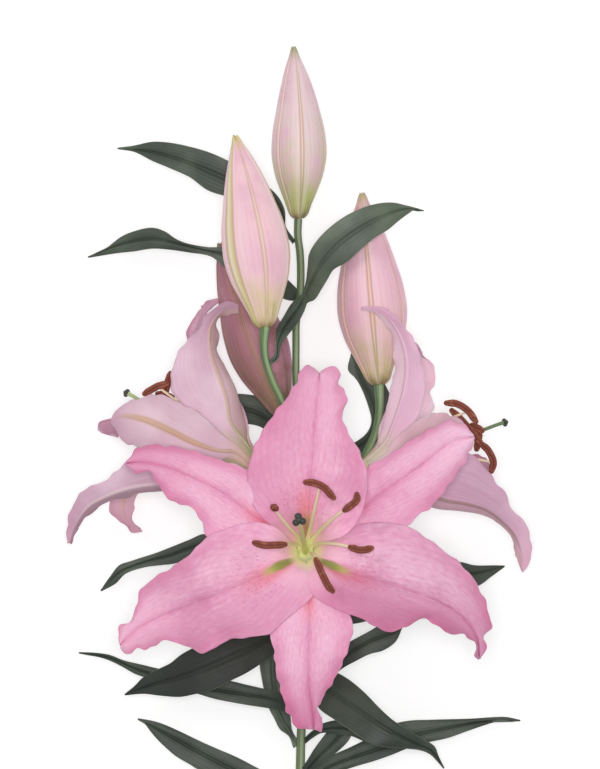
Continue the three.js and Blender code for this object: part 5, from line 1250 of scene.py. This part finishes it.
# Leaf 10 lies under the middle flower's petals: its darker face is painted shade.
SHADED_LEAF = 10
LEAF_VEINS = 5                   # raised between them on each side of the midrib
LEAF_GROOVE, LEAF_SWELL, LEAF_PLEAT, LEAF_WAVE = 0.7, 0.7, 0.05, 0.5
LEAF_WAVE_START = 0.21


def leaf_edge(midrib, outline, opposite, keel, base_half_width):
    """An edge in space: its plan points, at the midrib's height for the same part of the way."""
    def stand_off(part, half_width, end):
        point, before, after = midrib(part), midrib(max(part - 0.01, 0)), midrib(min(part + 0.01, 1))
        across = unit(np.array((before[1] - after[1], after[0] - before[0])))
        towards = np.sign(across @ np.subtract(outline[end], opposite[end]))
        return point[:2] + across * towards * half_width
    plan = np.array([stand_off(0, base_half_width, 0), *outline, stand_off(1, TIP_HALF_WIDTH, -1)], float)
    length = np.append(0, np.cumsum(np.linalg.norm(np.diff(plan, axis=0), axis=1)))
    part = length / length[-1]
    height = midrib(part)[:, 2] + keel * np.sin(np.pi * part)
    return curve_through(np.column_stack([plan, height]))


def leaf_shape(number, mid, upper, lower, keel):
    midrib = curve_through(mid)
    base = NARROW_HALF_WIDTH if number in NARROW_BASES else LEAF_BASE_HALF_WIDTH
    edge_a = leaf_edge(midrib, upper, lower, keel, base)
    edge_b = leaf_edge(midrib, lower, upper, keel, base)
    shape, across, along = blade(edge_a, midrib, edge_b, LEAF_ROWS, LEAF_COLUMNS)
    if mid[-1][0] < mid[0][0]:
        shape = shape[:, ::-1]   # so that its face is the upper one
    groove = LEAF_GROOVE * ridge(across, 0.06)
    swell = LEAF_SWELL * np.sin(np.pi * np.abs(across) ** 0.85)
    pleats = LEAF_PLEAT * np.cos(2 * np.pi * LEAF_VEINS * across) * (1 - np.abs(across) ** 4)
    wave = LEAF_WAVE * across ** 4 * ripple(along, across, 2.6, LEAF_WAVE_START * number, 0.2)
    shape = lift(shape, (swell - groove + pleats + wave) * stretch(along, 0.02, 0.15, 0.85, 1))
    # Thin at the edges and thickest along the midrib.
    share = 0.25 + 0.4 * (1 - np.abs(across) ** 6) + 0.35 * ridge(across, 0.08) + 0 * along
    return shape, share


def leaf_finish(name, dark, light, margin, roughness):
    material, tree = new_finish(name, roughness, 0.45)
    lines = lengthwise(tree, LEAF_VEINS * 1.0)
    across = lines["Across"]
    colour = coated(
        tree, dark,
        (light, 1, (grain(tree, 45), 0.35, 0.68)),
        (light, 0.2, (lines["Streak"], 0.4, 0.72)),
        (dark, 0.12, lines["Vein"]),
        (dark, 0.5, (across, 0.05, 0.01)),
        (margin, 0.7, (across, 0.955, 1.0)),
    )
    height = summed(tree, lines["Streak"], (lines["Vein"], -0.8), (lines["Fine"], 0.3))
    return dress(material, colour, height, 0.18, 0.3)


upper_leaf = leaf_finish("upper_leaf_face", "343d34", "4a5547", "8b967c", 0.48)
lower_leaf = leaf_finish("lower_leaf_face", "2c342d", "3d473b", "77826a", 0.52)
paler_leaf = leaf_finish("paler_leaf_face", "465044", "5c6855", "8b967c", 0.5)
shaded_leaf = leaf_finish("shaded_leaf_face", "222822", "2c332b", "5d6852", 0.62)
leaf_back = leaf_finish("leaf_back", "465045", "5d6958", "8b967c", 0.55)
OTHER_FACES = {PALER_LEAF: paler_leaf, SHADED_LEAF: shaded_leaf}
for number, leaf in enumerate(LEAVES, start=1):
    shape, share = leaf_shape(number, *leaf)
    face = OTHER_FACES.get(number, upper_leaf if number <= UPPER_LEAVES else lower_leaf)
    piece = lay_grid(f"leaf_{number}_piece", shape, face, leaf_back)
    thicken(piece, share, LEAF_THICKEST)
    hand_over(piece, f"leaf_{number}")


# ---------------------------------------------------------------- table, lights and camera
# A plain pale table top under the stem, broad soft lights above it, and a camera that looks straight
# down with the stem's tip at the top.
WHITE = (1, 1, 1, 1)
MID_GREY = (0.5, 0.5, 0.5, 1)
TABLE_SIZE = 12
TABLE_HEIGHT = -0.3 * MM         # just clear of what rests on it
TABLE_GLOW = 0.55
SKY_STRENGTH = 0.36
bpy.ops.object.select_all(action="DESELECT")
bpy.ops.mesh.primitive_plane_add(size=TABLE_SIZE, location=(0, 0, TABLE_HEIGHT))
table = bpy.context.object
table.name = "table_top"
table_glow = {"Base Color": MID_GREY, "Emission Color": WHITE, "Emission Strength": TABLE_GLOW}
table_white, _ = new_finish("table_white", 0.9, 0.1, table_glow)
table.data.materials.append(table_white)

world = bpy.data.worlds.new("studio")
world.use_nodes = True
sky = world.node_tree.nodes["Background"].inputs
sky["Color"].default_value = WHITE
sky["Strength"].default_value = SKY_STRENGTH
bpy.context.scene.world = world
bpy.context.scene.view_settings.view_transform = "Standard"

# Name, place, size in metres and power. All point at LIT_SPOT.
LIT_SPOT = np.array((0, 0.05, 0.05))
LIGHTS = [
    ("overhead_light", (0, 0.1, 7.5), 1.6, 280),
    ("left_light", (-1.9, 1.3, 3.0), 1.8, 26),
    ("right_light", (2.2, 1.4, 2.6), 1.8, 18),
]
for name, place, size, power in LIGHTS:
    light = bpy.data.lights.new(name, "AREA")
    light.shape = "DISK"
    light.size = size
    light.energy = power
    lamp = bpy.data.objects.new(name, light)
    lamp.location = place
    aim = LIT_SPOT - np.array(place)
    lamp.rotation_euler = (math.atan2(math.hypot(aim[0], aim[1]), -aim[2]), 0, math.atan2(-aim[0], aim[1]))
    lamp.visible_camera = False
    bpy.context.scene.collection.objects.link(lamp)

VIEW_HEIGHT = 0.41526            # how much of the stem's length the camera takes in
CAMERA_DISTANCE = 12.0
CAMERA_PLANE = 0.06              # height at which that length is measured
CAMERA_MIDDLE = (0, 84)          # drawn point at the middle of the view
SENSOR_WIDTH = 36
FARTHEST_SEEN = 100
camera = bpy.data.cameras.new("camera")
camera.sensor_width = SENSOR_WIDTH
camera.lens = SENSOR_WIDTH * CAMERA_DISTANCE / VIEW_HEIGHT
camera.clip_end = FARTHEST_SEEN
viewer = bpy.data.objects.new("camera", camera)
viewer.location = (CAMERA_MIDDLE[0] * MM + ORIGIN[0], CAMERA_MIDDLE[1] * MM + ORIGIN[1],
                   CAMERA_PLANE + CAMERA_DISTANCE)
bpy.context.scene.collection.objects.link(viewer)
bpy.context.scene.camera = viewer
